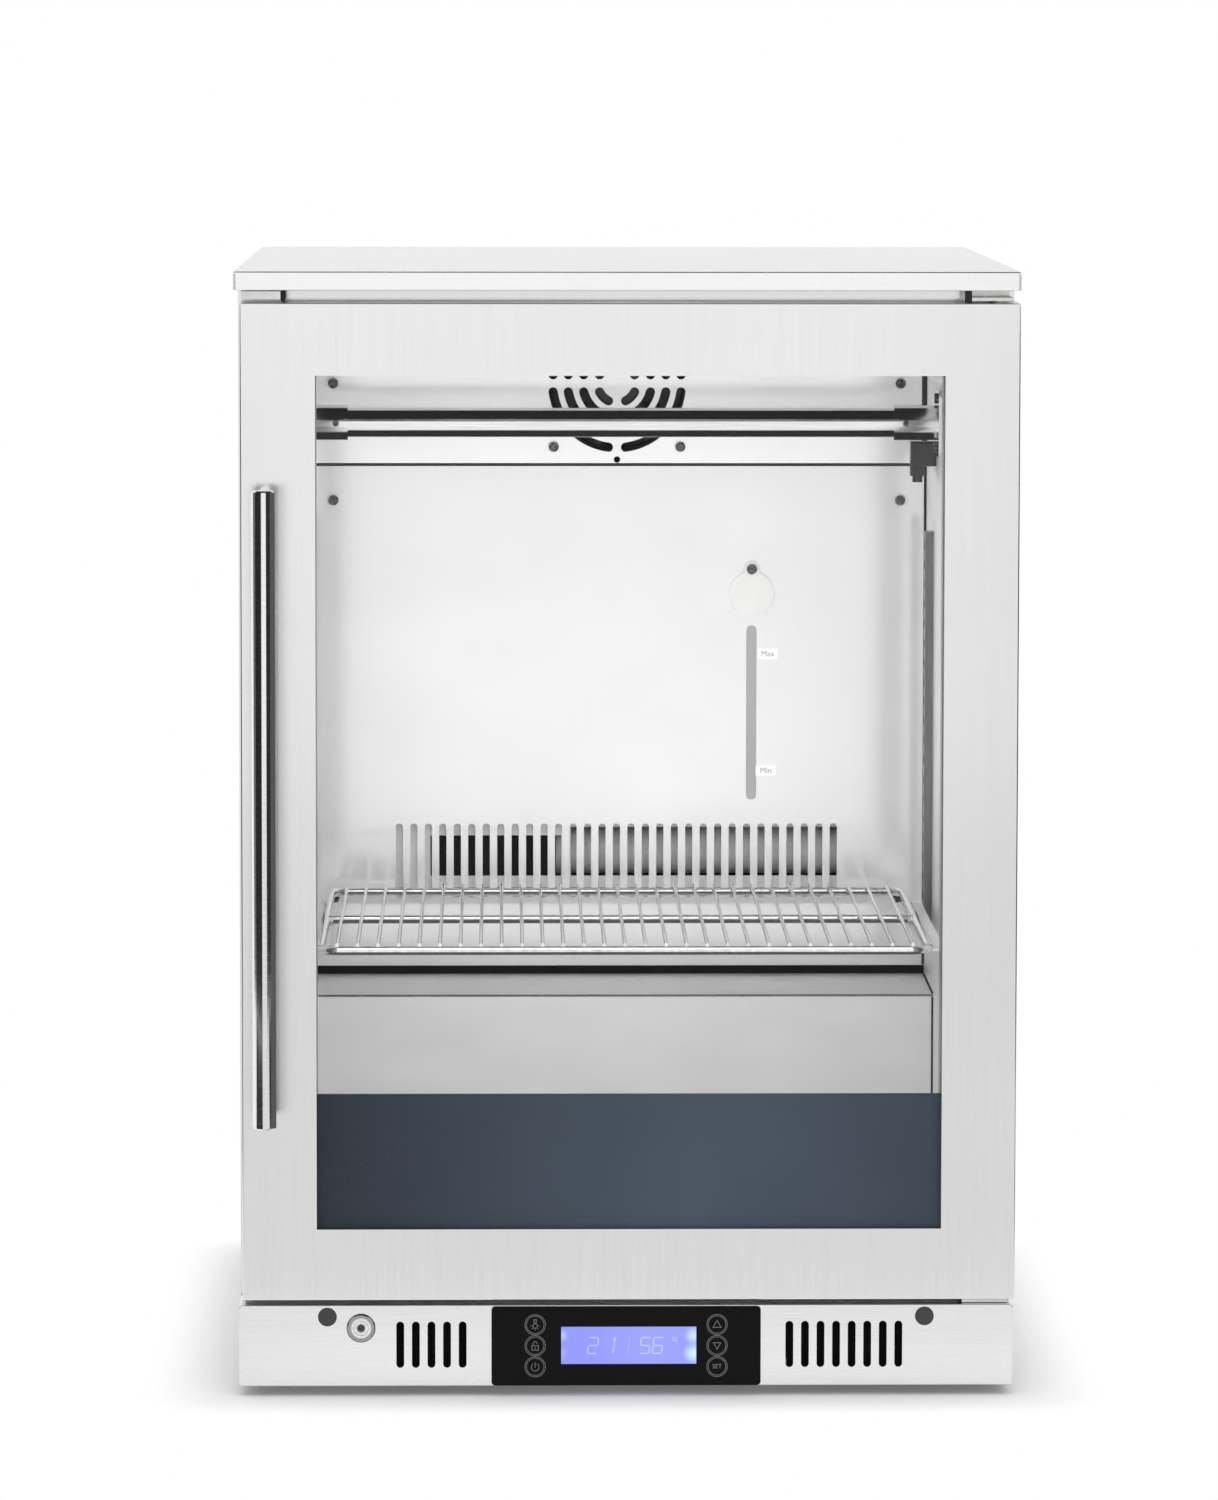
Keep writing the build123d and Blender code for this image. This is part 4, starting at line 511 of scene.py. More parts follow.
bandLow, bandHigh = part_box("lower_band")
skins["blue_enamel"] = bandEnamel({
    "name": "steelPlateEnamelledSlateBlue",
    "tones": ("#2c333d", "#4b5867", "#3e4754"),                                # left, lighter middle and right, all a painted reflection
    "leftMm": -237.0, "rightMm": 242.0, "paintedSheenShare": 0.6, "cloudMm": 140.0, "cloudShare": 0.25,
    "ior": 1.5, "specular": 0.1, "roughness": (0.3, 0.4), "back": "#e4e4e4",
    "backFrom": bandLow.y + mm(0.5)})


# Liquid crystal module lit from its ends by blue diodes
def litDisplay(finish):
    material, tree = newMaterial(finish["name"])
    spot = addNode(tree, "ShaderNodeTexCoord").outputs["Object"]
    tone = linear(finish["field"])
    for share, colour, x, z, reachMm in finish["glows"]:
        gap = addNode(tree, "ShaderNodeVectorMath", {0: spot, 1: (mm(x), mm(finish["y"]), mm(z))},
                      operation="DISTANCE")
        tone = shaded(tree, gap.outputs["Value"], tone, linear(colour), share, (mm(reachMm), 0.0),
                      interpolation_type="SMOOTHSTEP")
    lines = unevenness(tree, finish["lineMm"], detail=1.0)
    tone = shaded(tree, lines, tone, linear(finish["line"]), finish["lineShare"])
    face = addNode(tree, "ShaderNodeBsdfPrincipled", {
        "Base Color": linear(finish["unlit"]), "Roughness": finish["roughness"], "IOR": finish["ior"],
        "Specular IOR Level": finish["specular"], "Emission Color": tone, "Emission Strength": 1.0})
    addNode(tree, "ShaderNodeOutputMaterial", {"Surface": face.outputs[0]})
    return material


displayLow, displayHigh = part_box("display")
displayFace = {
    "unlit": "#1a1c40", "lineMm": (0.5, 0.5, 60.0), "lineShare": 0.12, "y": displayLow.y * 1000,
    "ior": 1.5, "specular": 0.1, "roughness": 0.35,
}
skins["display_blue"] = litDisplay({
    **displayFace, "name": "liquidCrystalBacklit", "field": "#969cf8", "line": "#8085ee",
    # How strong, its colour, place on X and Z and reach of each diode's glow
    "glows": (
        (0.55, "#a9aeff", 20.0, 40.0, 60.0),
        (0.9, "#d6f3ff", displayHigh.x * 1000 - 2, displayHigh.z * 1000 - 7, 9.0),
        (1.0, "#d9f8ff", displayHigh.x * 1000 - 2, displayLow.z * 1000 + 8, 10.0),
        (0.7, "#c9dcff", displayLow.x * 1000, displayHigh.z * 1000 - 7, 7.0),
        (0.5, "#b9c4ff", displayLow.x * 1000, displayLow.z * 1000 + 8, 7.0),
    )})

# Nodes with a finish of their own; the others take that of their slot
ownSkins = {"support_strips": stripSteel, "fan_cover": fanCoverSteelPaintedLight}
for part in frame["record"]["subparts"]:
    mesh = frame["nodes"][part["node"]].data
    mesh.materials.clear()
    mesh.materials.append(ownSkins.get(part["node"], skins[part["material_slot"]]))
print("Materials: {} finishes on {} nodes".format(len(skins), len(frame["nodes"])))


# Stage: white floor and surroundings, dark flags for the tubes' reflections, plain soft light
stage = {
    "floorHalf": 14.0,
    "floorWhite": "#f6f6f6",
    "floorGlow": (0.12, 1.0),      # share of plain white that camera and mirror rays see, near and far
    "floorGlowReach": (0.0, 0.075),    # metres from the case's foot
    "fill": 0.92,                  # light from all round on matt surfaces
    "lampPlace": (0.3, -2.4, 3.4),
    "lampAim": (0.0, 0.0, 0.4),
    "lampSize": 3.0,
    "lampPower": 18.0,
    "flagRadius": 2.1,
    "flagMiddle": -0.2,            # metres, on X
    "flagLow": 0.02,
    "flagHigh": 0.78,              # just over the handle, so that the top and the back mirror plain white
    "bendSteps": 10,
    # First and last angle of each flag, left below zero, and its tone
    "flags": {
        "studioFlagLeft": (-15, -72, "#272727"), "studioFlagRight": (24, 72, "#272727"),
        "studioFlagFarLeft": (-72, -100, "#6a6a6a"), "studioFlagFarRight": (72, 100, "#5a5a5a"),
    },
    # The same lying on the floor, for the lower half of the handle, from one radius to another
    "floorFlags": {
        "studioFloorFlagLeft": (-15, -72, "#2e2e2e"), "studioFloorFlagRight": (40, 72, "#2e2e2e"),
    },
    "floorFlagReach": (1.2, 2.1),
    "floorFlagHigh": 0.006,
    "insideLampPower": 1.85,       # lights the plastic and paper inside, and isn't mirrored
    "insideLampShare": (0.95, 0.92),   # of the pane's width and height
    "insideLampRaise": 15.0,       # mm, over the middle of the pane
    "insideLampBehind": 30.0,      # mm, from the pane
    # Cards that only mirror rays see: low and high corner, and tone. Those in the cavity and the one
    # beside the handle are painted reflections, dark for the shade there
    "cards": {
        "studioCardCeiling": ((-0.25, -0.165, 0.808), (0.25, 0.015, 0.808), "#1c1c1c"),
        "studioCardUnderRod": ((-0.252, -0.024, 0.7145), (0.252, 0.012, 0.7145), "#2a2a2a"),
        "studioCardUnderShelf": ((-0.24, -0.246, 0.318), (0.24, 0.12, 0.318), "#5c5c5c"),
        "studioCardBehind": ((-6.0, 3.0, 0.5), (6.0, 3.0, 3.6), "#f4f4f4"),
        "studioCardFloor": ((-3.0, -4.2, 0.004), (3.0, -0.6, 0.004), "#eaeaea"),
        "studioCardHandle": ((-0.2655, -0.3222, 0.2147), (-0.2655, -0.306, 0.7017), "#5c5c5c"),
        "studioCardOverhead": ((-2.5, -2.6, 3.3), (2.5, 0.9, 3.3), "#2c2c2c"),
    },
}


def placed(name, mesh):
    piece = bpy.data.objects.new(name, mesh)
    bpy.context.scene.collection.objects.link(piece)
    return piece


def meshFrom(name, bm):
    bmesh.ops.recalc_face_normals(bm, faces=bm.faces)
    mesh = bpy.data.meshes.new(name)
    bm.to_mesh(mesh)
    bm.free()
    return mesh


# Faces from each ring of vertices to the next, and over both ends where told
def joinRings(bm, rings, capped=True):
    for a, b in zip(rings, rings[1:]):
        for k in range(len(a)):
            after = (k + 1) % len(a)
            bm.faces.new((a[k], a[after], b[after], b[k]))
    if capped:
        bm.faces.new(rings[0])
        bm.faces.new(list(reversed(rings[-1])))


# Puts a finished shape on its body, with its finish
def fitted(name, shape, skin, body):
    mesh = meshFrom(name, shape) if isinstance(shape, bmesh.types.BMesh) else shape
    mesh.materials.append(skin)
    piece = placed(name, mesh)
    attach(piece, body)
    return piece


sharpCorner = 0.35                 # cosine of half the turn at which a stroke's corner is cut short


# A flat stroke along points on X and Z, on a face that looks along -Y, as a closed solid
def addStroke(bm, points, width, front, depth, closed=False):
    count = len(points)
    rows = []
    for index in range(count):
        here = Vector(points[index])
        ways = []
        if closed or index > 0:
            ways.append((here - Vector(points[index - 1])).normalized())
        if closed or index < count - 1:
            ways.append((Vector(points[(index + 1) % count]) - here).normalized())
        way = sum(ways, Vector((0, 0))).normalized()
        across = Vector((-way.y, way.x)) * (width / 2 / max(sharpCorner, way.dot(ways[0])))
        left, right = here - across, here + across
        rows.append([bm.verts.new(corner) for corner in (
            (left.x, front, left.y), (right.x, front, right.y),
            (right.x, front + depth, right.y), (left.x, front + depth, left.y))])
    joinRings(bm, rows + rows[:1] if closed else rows, capped=not closed)


def arcPoints(x, z, radius, first, last, steps):
    turns = [math.radians(first + (last - first) * step / steps) for step in range(steps + 1)]
    return [(x + radius * math.cos(turn), z + radius * math.sin(turn)) for turn in turns]


def circlePoints(x, z, radius, steps):
    return arcPoints(x, z, radius, 0, 360, steps)[:-1]


# Outline of a rectangle with round corners, drawn in by inset
def roundedPoints(low, high, corner, inset=0.0, steps=5):
    points = []
    for turn, x, z in ((0, high[0] - corner, high[1] - corner), (90, low[0] + corner, high[1] - corner),
                       (180, low[0] + corner, low[1] + corner), (270, high[0] - corner, low[1] + corner)):
        points += arcPoints(x, z, corner - inset, turn, turn + 90, steps)
    return points


# A plate or block whose corners are round on X and Z, with soft edges at its front and back
def addRounded(bm, low, high, corner, edge):
    stations = ((low[1], edge), (low[1] + edge, 0.0), (high[1] - edge, 0.0), (high[1], edge))
    joinRings(bm, [[bm.verts.new((x, y, z)) for x, z in roundedPoints(low[::2], high[::2], corner, inset)]
                   for y, inset in stations])


capShare = 0.7                     # height of a capital in Blender's own font, as a share of its size


# Words as a mesh that faces -Y, with their middle at the given place
def wordMesh(words, x, y, z, capHeight, depth):
    text = bpy.data.curves.new("words", "FONT")
    text.body = words
    text.size = capHeight / capShare
    text.align_x = "CENTER"
    text.align_y = "CENTER"
    text.extrude = depth / 2
    holder = placed("words", text)
    bpy.context.view_layer.update()
    mesh = bpy.data.meshes.new_from_object(holder)
    mesh.transform(Matrix.Translation((x, y, z)) @ Matrix.Rotation(math.radians(90), 4, "X"))
    bpy.data.objects.remove(holder)
    return mesh


# Screen ink on the control glass: mid grey, matt
keyInk = solidSkin({
    "name": "screenInkGrey", "light": "#8c8c8c", "dark": "#747474", "grainMm": 0.5, "cloudMm": 8.0,
    "depthMm": 0.01, "bump": 0.1, "ior": 1.5, "roughness": (0.5, 0.6), "specular": 0.1})

# Six touch keys, each a double ring with its sign
keys = {
    "columnFromMiddle": 70.0,      # mm, both ways from the middle of the glass
    "firstRow": 16.6,              # mm above the middle of the glass
    "rowPitch": 16.35,
    "rings": (7.9, 6.75),
    "ringWidth": 0.42,
    "ringSteps": 48,
    "signWidth": 0.5,
    "wordHeight": 3.4,
    "inkDepth": 0.04,
    "inkProud": 0.03,              # mm, out of the glass
}
glassLow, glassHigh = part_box("control_glass")
keyFront = glassLow.y - mm(keys["inkProud"])
# Strokes of each sign, mm from the middle of its key, and whether they close
keySigns = {
    "lamp": [(circlePoints(0, -0.9, 1.8, 20), True),
             ([(-0.9, 1.9), (0.9, 1.9), (0.9, 4.0), (-0.9, 4.0)], True),
             ([(-0.7, 0.8), (-0.7, 1.9)], False), ([(0.7, 0.8), (0.7, 1.9)], False)]
            + [([arcPoints(0, -0.9, radius, turn, turn, 1)[0] for radius in (2.6, 3.5)], False)
               for turn in (180, 225, 270, 315, 360)],
    "padlock": [([(-2.5, -3.4), (2.5, -3.4), (2.5, 0.1), (-2.5, 0.1)], True),
                (arcPoints(-0.1, 1.6, 1.6, -10, 180, 12) + [(-1.7, 0.1)], False),
                ([(0, -2.4), (0, -1.0)], False)],
    "power": [(arcPoints(0, -0.3, 3.0, 122, 418, 24), False), ([(0, -0.6), (0, 3.5)], False)],
    "up": [([(-3.1, -2.2), (3.1, -2.2), (0, 3.2)], True)],
    "down": [([(-2.8, 2.1), (2.8, 2.1), (0, -2.9)], True)],
    "set": [],
}
for column, names in ((-1, ("lamp", "padlock", "power")), (1, ("up", "down", "set"))):
    for row, name in enumerate(names):
        x = (glassLow.x + glassHigh.x) / 2 + mm(column * keys["columnFromMiddle"])
        z = (glassLow.z + glassHigh.z) / 2 + mm(keys["firstRow"] - row * keys["rowPitch"])
        depth = mm(keys["inkDepth"])
        bm = bmesh.new()
        for radius in keys["rings"]:
            addStroke(bm, circlePoints(x, z, mm(radius), keys["ringSteps"]), mm(keys["ringWidth"]),
                      keyFront, depth, closed=True)
        for points, closed in keySigns[name]:
            addStroke(bm, [(x + mm(u), z + mm(v)) for u, v in points], mm(keys["signWidth"]), keyFront,
                      depth, closed)
        if name == "set":
            bm.from_mesh(wordMesh("SET", x, keyFront + depth / 2, z, mm(keys["wordHeight"]), depth))
        fitted("key_" + name, bm, keyInk, "cabinet")
print("Six keys printed")

# Segments of the display, paler than its field
litSegment = litDisplay({
    **displayFace, "name": "liquidCrystalSegment", "field": "#c6caff", "line": "#b9bdfa",
    "glows": ((0.5, "#d4e6ff", 45.0, 40.0, 40.0),)})
digits = {
    "height": 12.4, "width": 7.2, "slant": 0.13, "stroke": 1.0, "gap": 0.35, "z": 39.8, "depth": 0.05,
    "proud": 0.0375,               # mm, out of the display's face
    # Place of each digit's middle on X, and the segments lit: top, upper left, upper right, middle,
    # lower left, lower right, foot
    "lit": ((-25.5, (1, 0, 1, 1, 1, 0, 1)), (-13.0, (0, 0, 1, 0, 0, 1, 0)),
            (14.6, (1, 1, 0, 1, 0, 1, 1)), (24.4, (1, 1, 0, 1, 1, 1, 1))),
    # Rings of the degree and the percent sign: middle on X and Z, radius, stroke and steps
    "rings": ((-9.6, 45.0, 1.3, 0.45, 16), (35.2, 46.0, 0.7, 0.35, 12), (38.2, 43.5, 0.7, 0.35, 12)),
    # Slash of the percent sign and line between the readings: both ends and stroke
    "lines": (((35.0, 43.2), (38.4, 46.2), 0.45), ((2.0, 33.0), (2.0, 47.0), 0.35)),
}
half, tall, gap = digits["width"] / 2, digits["height"] / 2, digits["gap"]
segments = (((-half + gap, tall), (half - gap, tall)), ((-half, gap), (-half, tall - gap)),
            ((half, gap), (half, tall - gap)), ((-half + gap, 0), (half - gap, 0)),
            ((-half, -tall + gap), (-half, -gap)), ((half, -tall + gap), (half, -gap)),
            ((-half + gap, -tall), (half - gap, -tall)))
segmentFront = displayLow.y - mm(digits["proud"])


# A stroke on the display's face, leant over like the digits
def addSegment(bm, points, stroke, closed=False):
    leant = [(mm(x + (z - digits["z"]) * digits["slant"]), mm(z)) for x, z in points]
    addStroke(bm, leant, mm(stroke), segmentFront, mm(digits["depth"]), closed)


bm = bmesh.new()
for middle, lit in digits["lit"]:
    for on, ends in zip(lit, segments):
        if on:
            addSegment(bm, [(middle + x, digits["z"] + z) for x, z in ends], digits["stroke"])
for x, z, radius, stroke, steps in digits["rings"]:
    addSegment(bm, circlePoints(x, z, radius, steps), stroke, closed=True)
for first, last, stroke in digits["lines"]:
    addSegment(bm, [first, last], stroke)
fitted("display_digits", bm, litSegment, "cabinet")
print("Display set")

# Paper labels beside the gauge slot, white with grey print
labelPaper = solidSkin({
    "name": "paperLabelMatt", "light": "#fbfbfa", "dark": "#f3f3f1", "grainMm": 0.6, "cloudMm": 8.0,
    "depthMm": 0.02, "bump": 0.2, "ior": 1.5, "roughness": (0.6, 0.75)})
labelInk = solidSkin({
    "name": "labelInkGrey", "light": "#8d8d8d", "dark": "#7c7c7c", "grainMm": 0.4, "cloudMm": 4.0,
    "depthMm": 0.01, "bump": 0.1, "ior": 1.5, "roughness": (0.6, 0.7)})
labels = {
    "width": 17.0, "height": 9.0, "corner": 1.2, "thickness": 0.15, "capHeight": 4.6, "inkDepth": 0.06,
    "words": {"Max": (125.5, 532.9), "Min": (124.3, 435.3)},               # middle on X and Z, mm
}
coverLow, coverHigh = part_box("evaporator_cover")
for words, (x, z) in labels["words"].items():
    halfWide, halfHigh = labels["width"] / 2, labels["height"] / 2
    outline = roundedPoints((x - halfWide, z - halfHigh), (x + halfWide, z + halfHigh), labels["corner"])
    front = coverLow.y - mm(labels["thickness"])
    bm = bmesh.new()
    joinRings(bm, [[bm.verts.new((mm(u), y, mm(v))) for u, v in outline] for y in (front, coverLow.y)])
    fitted("label_" + words.lower(), bm, labelPaper, "cabinet")
    ink = wordMesh(words, mm(x), front, mm(z), mm(labels["capHeight"]), mm(labels["inkDepth"]))
    fitted("label_print_" + words.lower(), ink, labelInk, "cabinet")
print("Labels on the back cover")

# Gasket: foot, bellows and magnet pocket, mitred at the corners
gasket = {
    # Across from the middle of the strip, and back from the door, mm
    "section": ((-7.0, 0.0), (7.0, 0.0), (7.0, 0.9), (4.4, 1.5), (5.7, 2.8), (4.3, 3.9), (6.3, 4.7),
                (6.5, 7.2), (5.9, 7.7), (-5.9, 7.7), (-6.5, 7.2), (-6.3, 4.7), (-4.3, 3.9),
                (-5.7, 2.8), (-4.4, 1.5), (-7.0, 0.9)),
    "halfWidth": 7.0,
}
low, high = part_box("door_gasket")
inset = mm(gasket["halfWidth"])
bm = bmesh.new()
rings = []
for side, rise in ((-1, -1), (1, -1), (1, 1), (-1, 1)):
    x = low.x + inset if side < 0 else high.x - inset
    z = low.z + inset if rise < 0 else high.z - inset
    rings.append([bm.verts.new((x + side * mm(u), low.y + mm(d), z + rise * mm(u)))
                  for u, d in gasket["section"]])
joinRings(bm, rings + rings[:1], capped=False)
bellows = fitted("gasket_bellows", bm, skins["gasket_rubber"], "door")
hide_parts("door_gasket")
print("Gasket made")

# Enamelled band behind the outer pane: a plate with rounded corners and soft edges
band = {"glassGap": 0.12, "corner": 1.5, "edge": 0.25}
front = bandLow.y + mm(band["glassGap"])
bm = bmesh.new()
addRounded(bm, (bandLow.x, front, bandLow.z), tuple(bandHigh), mm(band["corner"]), mm(band["edge"]))
bandPlate = fitted("band_plate", bm, skins["blue_enamel"], "door")
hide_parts("lower_band")
print("Band fitted")

# Rubber buffers under the worktop, beside the blank and in front of the hinge bracket. They show as two
# upright dark bars
buffers = {
    # Low and high corner of each, mm. They stay 0.8 over the door's top, which turns under them
    "left": ((-263.9, -267.4, 842.6), (-260.4, -255.0, 851.4)),
    "right": ((257.0, -273.6, 842.6), (262.2, -269.6, 851.4)),
    "corner": 0.9, "edge": 0.5,
}
bm = bmesh.new()
for side in ("left", "right"):
    low, high = ([mm(length) for length in corner] for corner in buffers[side])
    addRounded(bm, low, high, mm(buffers["corner"]), mm(buffers["edge"]))
fitted("gap_buffers", bm, skins["mount_rubber"], "cabinet")
print("Buffers under the worktop")


# A sheet that faces -Y, cut by lines on X and Z into cells, some of them left open
def addSheet(bm, acrossCuts, upCuts, gaps, front, back):
    corner = {(i, j, y): bm.verts.new((mm(x), y, mm(z))) for i, x in enumerate(acrossCuts)
              for j, z in enumerate(upCuts) for y in (front, back)}

    def filled(i, j):
        return 0 <= i < len(acrossCuts) - 1 and 0 <= j < len(upCuts) - 1 and (i, j) not in gaps

    for i in range(len(acrossCuts) - 1):
        for j in range(len(upCuts) - 1):
            if not filled(i, j):
                continue
            square = ((i, j), (i + 1, j), (i + 1, j + 1), (i, j + 1))
            for y in (front, back):
                bm.faces.new([corner[(*at, y)] for at in square])
            for start, beside in enumerate(((i, j - 1), (i + 1, j), (i, j + 1), (i - 1, j))):
                if not filled(*beside):
                    a, b = square[start], square[(start + 1) % 4]
                    around = ((*a, front), (*b, front), (*b, back), (*a, back))
                    bm.faces.new([corner[at] for at in around])
    bmesh.ops.delete(bm, geom=[vert for vert in bm.verts if not vert.link_faces], context="VERTS")


# Half-round beads along X, with rounded ends: the foam tape between the two back covers, and the hem of
# the liner's step
beads = {
    # Middle on Y and Z, half height, how far it stands out, half length, mm
    "cover_tape": (162.49, 690.6, 1.25, 0.8, 255.5), "step_hem": (46.49, 263.6, 0.9, 0.7, 256.5),
    "steps": 12, "endSteps": 4,
    "endFrom": 15.0,               # degrees of the quarter round at which an end begins
}
beadSkins = {
    # EPDM foam tape: nearly black and matt
    "cover_tape": (solidSkin({
        "name": "epdmTapeFoamed", "light": "#3d3d3e", "dark": "#2c2c2d", "grainMm": 0.8, "cloudMm": 20.0,
        "depthMm": 0.06, "bump": 0.4, "ior": 1.5, "roughness": (0.7, 0.85),
        "specular": 0.2}), "mount_rubber"),
    # Stainless steel, folded over and rolled flat: a grey line along the edge
    "step_hem": (smoothMetal({
        "name": "stainlessHemRolled", "light": "#a4a4a4", "dark": "#8c8c8c", "wipeMm": (30.0, 1.0, 1.0),
        "waveMm": 30.0, "depthMm": 0.02, "bump": 0.1, "roughness": (0.14, 0.22)}), "liner_steel"),
}
for name, (skin, slot) in beadSkins.items():
    y, z, halfHigh, standsOut, halfLong = beads[name]
    bm = bmesh.new()
    rings = []
    ends = range(beads["endSteps"] + 1)
    for side, k in [(-1, k) for k in ends] + [(1, k) for k in reversed(ends)]:
        turn = math.radians(beads["endFrom"] + (90 - beads["endFrom"]) * k / beads["endSteps"])
        share = math.sin(turn)     # of the full section
        x = side * (halfLong - standsOut * (1 - share))
        section = [(share * standsOut * u, share * halfHigh * v)
                   for u, v in arcPoints(0, 0, 1, -90, 90, beads["steps"])]
        rings.append([bm.verts.new((mm(x), mm(y - out), mm(z + up))) for out, up in section])
    joinRings(bm, rings)
    fitted(name, bm, skin, "cabinet")
print("Tape and hem laid")

# Painted shade in the corners: a hollow fillet of dark foam along the side walls, from one corner point
# to another
paintedCornerShade = {
    # Corner on Y and Z at both ends, the way it spreads off the wall's neighbour, and its size, mm
    "runs": (((162.5, 272.5), (162.5, 689.0), (-1, 0), 2.2),
             ((162.5, 692.0), (162.5, 817.0), (-1, 0), 4.2),
             ((46.5, 113.5), (46.5, 262.4), (-1, 0), 1.6),
             ((47.5, 264.6), (161.5, 264.6), (0, 1), 1.4)),
    "wall": 257.0, "steps": 6,
}
bm = bmesh.new()
for side in (-1, 1):
    for (fromY, fromZ), (toY, toZ), (wayY, wayZ), size in paintedCornerShade["runs"]:
        rings = []
        for y, z in ((fromY, fromZ), (toY, toZ)):
            ring = [bm.verts.new((side * mm(paintedCornerShade["wall"]), mm(y), mm(z)))]
            for across, up in arcPoints(0, 0, 1, 0, 90, paintedCornerShade["steps"]):    # hollow arc between the walls
                inward, along = size * (1 - up), size * (1 - across)
                ring.append(bm.verts.new((side * mm(paintedCornerShade["wall"] - inward), mm(y + wayY * along),
                                          mm(z + wayZ * along))))
            rings.append(ring)
        joinRings(bm, rings)
darkCornerSkin, tapeSlot = beadSkins["cover_tape"]
fitted("corner_shade_fillets", bm, darkCornerSkin, "cabinet")
print("Corners sealed")

# Behind the return slots: a bright baffle with two openings, and the lagged pipe behind the right one
duct = {
    "gap": 9.0,                    # mm, from the back of the cover to the baffle
    "thickness": 1.0,
    "acrossCuts": (-222.0, -155.0, -46.0, -38.0, 196.0, 222.0),
    "upCuts": (272.0, 346.0, 380.0, 387.0, 428.0),
    "gaps": ((1, 1), (3, 1), (3, 2)),
    "pipeAcross": (-50.0, 205.0), "pipeHigh": 365.0, "pipeBehind": 34.0, "pipeRadius": 20.0,
    "wrapPitch": 9.0, "wrapDepth": 0.5, "wrapSteps": 3, "sides": 32,
}
coverBack = coverHigh.y
bm = bmesh.new()
addSheet(bm, duct["acrossCuts"], duct["upCuts"], duct["gaps"], coverBack + mm(duct["gap"]),
         coverBack + mm(duct["gap"] + duct["thickness"]))
# Aluminium sheet as rolled: a dull silver, nearly white
baffleSheet = smoothMetal({
    "name": "aluminiumBaffleRolled", "light": "#ececec", "dark": "#dedede", "wipeMm": (30.0, 30.0, 10.0),
    "waveMm": 60.0, "depthMm": 0.05, "bump": 0.2, "roughness": (0.4, 0.5), "metallic": 0.25})
fitted("duct_baffle", bm, baffleSheet, "cabinet")

# Pipe lagged with foam and wrapped in grey tape, whose turns overlap
lagging = solidSkin({
    "name": "pvcTapeWrapped", "light": "#c6c6c5", "dark": "#b0b0b0", "grainMm": 2.0, "cloudMm": 14.0,
    "depthMm": 0.1, "bump": 0.4, "ior": 1.53, "roughness": (0.4, 0.55)})
bm = bmesh.new()
first, last = duct["pipeAcross"]
stepCount = int((last - first) / duct["wrapPitch"]) * duct["wrapSteps"]
rings = []
for step in range(stepCount + 1):                # each turn of the tape thins out towards the next
    thinning = (step % duct["wrapSteps"]) / (duct["wrapSteps"] - 1)
    radius = duct["pipeRadius"] - duct["wrapDepth"] * thinning
    rings.append([bm.verts.new((mm(first + (last - first) * step / stepCount),
                                coverBack + mm(duct["pipeBehind"] + u), mm(duct["pipeHigh"] + v)))
                  for u, v in circlePoints(0, 0, radius, duct["sides"])])
joinRings(bm, rings)
fitted("lagged_pipe", bm, lagging, "cabinet")
print("Duct baffle and pipe behind the return slots")

# Pleated dust filters behind the fascia's vents
filters = {
    "across": ((-184.0, -108.0), (124.0, 237.0)), "low": 9.5, "high": 67.0,
    "behind": 7.0,                 # mm, from the fascia's front
    "pleat": 1.6, "pleatDepth": 3.0, "thickness": 0.4,
}

# Polyester fleece, needled and pleated: matt black
filterCloth = solidSkin({
    "name": "polyesterFilterPleated", "light": "#262626", "dark": "#191919", "grainMm": 0.8,
    "cloudMm": 10.0, "depthMm": 0.1, "bump": 0.6, "ior": 1.5, "roughness": (0.8, 0.95), "specular": 0.2})
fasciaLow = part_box("fascia_panel")[0]
for side, (left, right) in zip(("left", "right"), filters["across"]):
    bm = bmesh.new()
    rings = []
    for step in range(int((right - left) / filters["pleat"]) + 1):
        x = mm(left + step * filters["pleat"])
        front = fasciaLow.y + mm(filters["behind"] + filters["pleatDepth"] * (step % 2))
        back = front + mm(filters["thickness"])
        low, high = mm(filters["low"]), mm(filters["high"])
        rings.append([bm.verts.new((x, y, z)) for y, z in ((front, low), (front, high), (back, high),
                                                           (back, low))])
    joinRings(bm, rings)
    fitted("vent_filter_" + side, bm, filterCloth, "cabinet")
print("Dust filters fitted")

# Screws of the rear panel: pan heads with a cross recess
rearScrews = {
    "edge": 9.0, "across": 4, "up": 5, "radius": 4.6, "height": 2.0, "sides": 24,
    # Share of the radius and of the height, from the panel up
    "profile": ((1.0, 0.0), (1.0, 0.35), (0.93, 0.68), (0.74, 0.9), (0.5, 1.0)),
    "recess": 2.1, "recessWidth": 0.9, "recessDepth": 0.8,
    "recessFoot": 0.8,             # size of the recess at its foot, as a share of its mouth
}


# A pan head on a face that looks along +Y, with a cross pressed into it
def addRearScrew(bm, x, y, z):
    rings = [[bm.verts.new((x + u, y + mm(rearScrews["height"]) * rise, z + v))
              for u, v in circlePoints(0, 0, mm(rearScrews["radius"]) * share, rearScrews["sides"])]
             for share, rise in rearScrews["profile"]]
    joinRings(bm, rings, capped=False)
    reach, wide = rearScrews["recess"], rearScrews["recessWidth"] / 2
    arm = ((wide, wide), (wide, reach), (-wide, reach))
    cross = list(arm)
    for turn in range(3):          # the other three arms, each a quarter round from the last
        arm = [(-v, u) for u, v in arm]
        cross += arm
    top = y + mm(rearScrews["height"])
    sizes = ((1.0, 0.0), (rearScrews["recessFoot"], rearScrews["recessDepth"]))
    mouth, foot = ([bm.verts.new((x + mm(u) * share, top - mm(depth), z + mm(v) * share))
                    for u, v in cross] for share, depth in sizes)
    joinRings(bm, (mouth, foot), capped=False)
    bm.faces.new(foot)
    rims = (rings[-1], mouth)
    edges = [bm.edges.get((rim[k - 1], rim[k])) for rim in rims for k in range(len(rim))]
    bmesh.ops.triangle_fill(bm, edges=edges, use_beauty=True, use_dissolve=False)


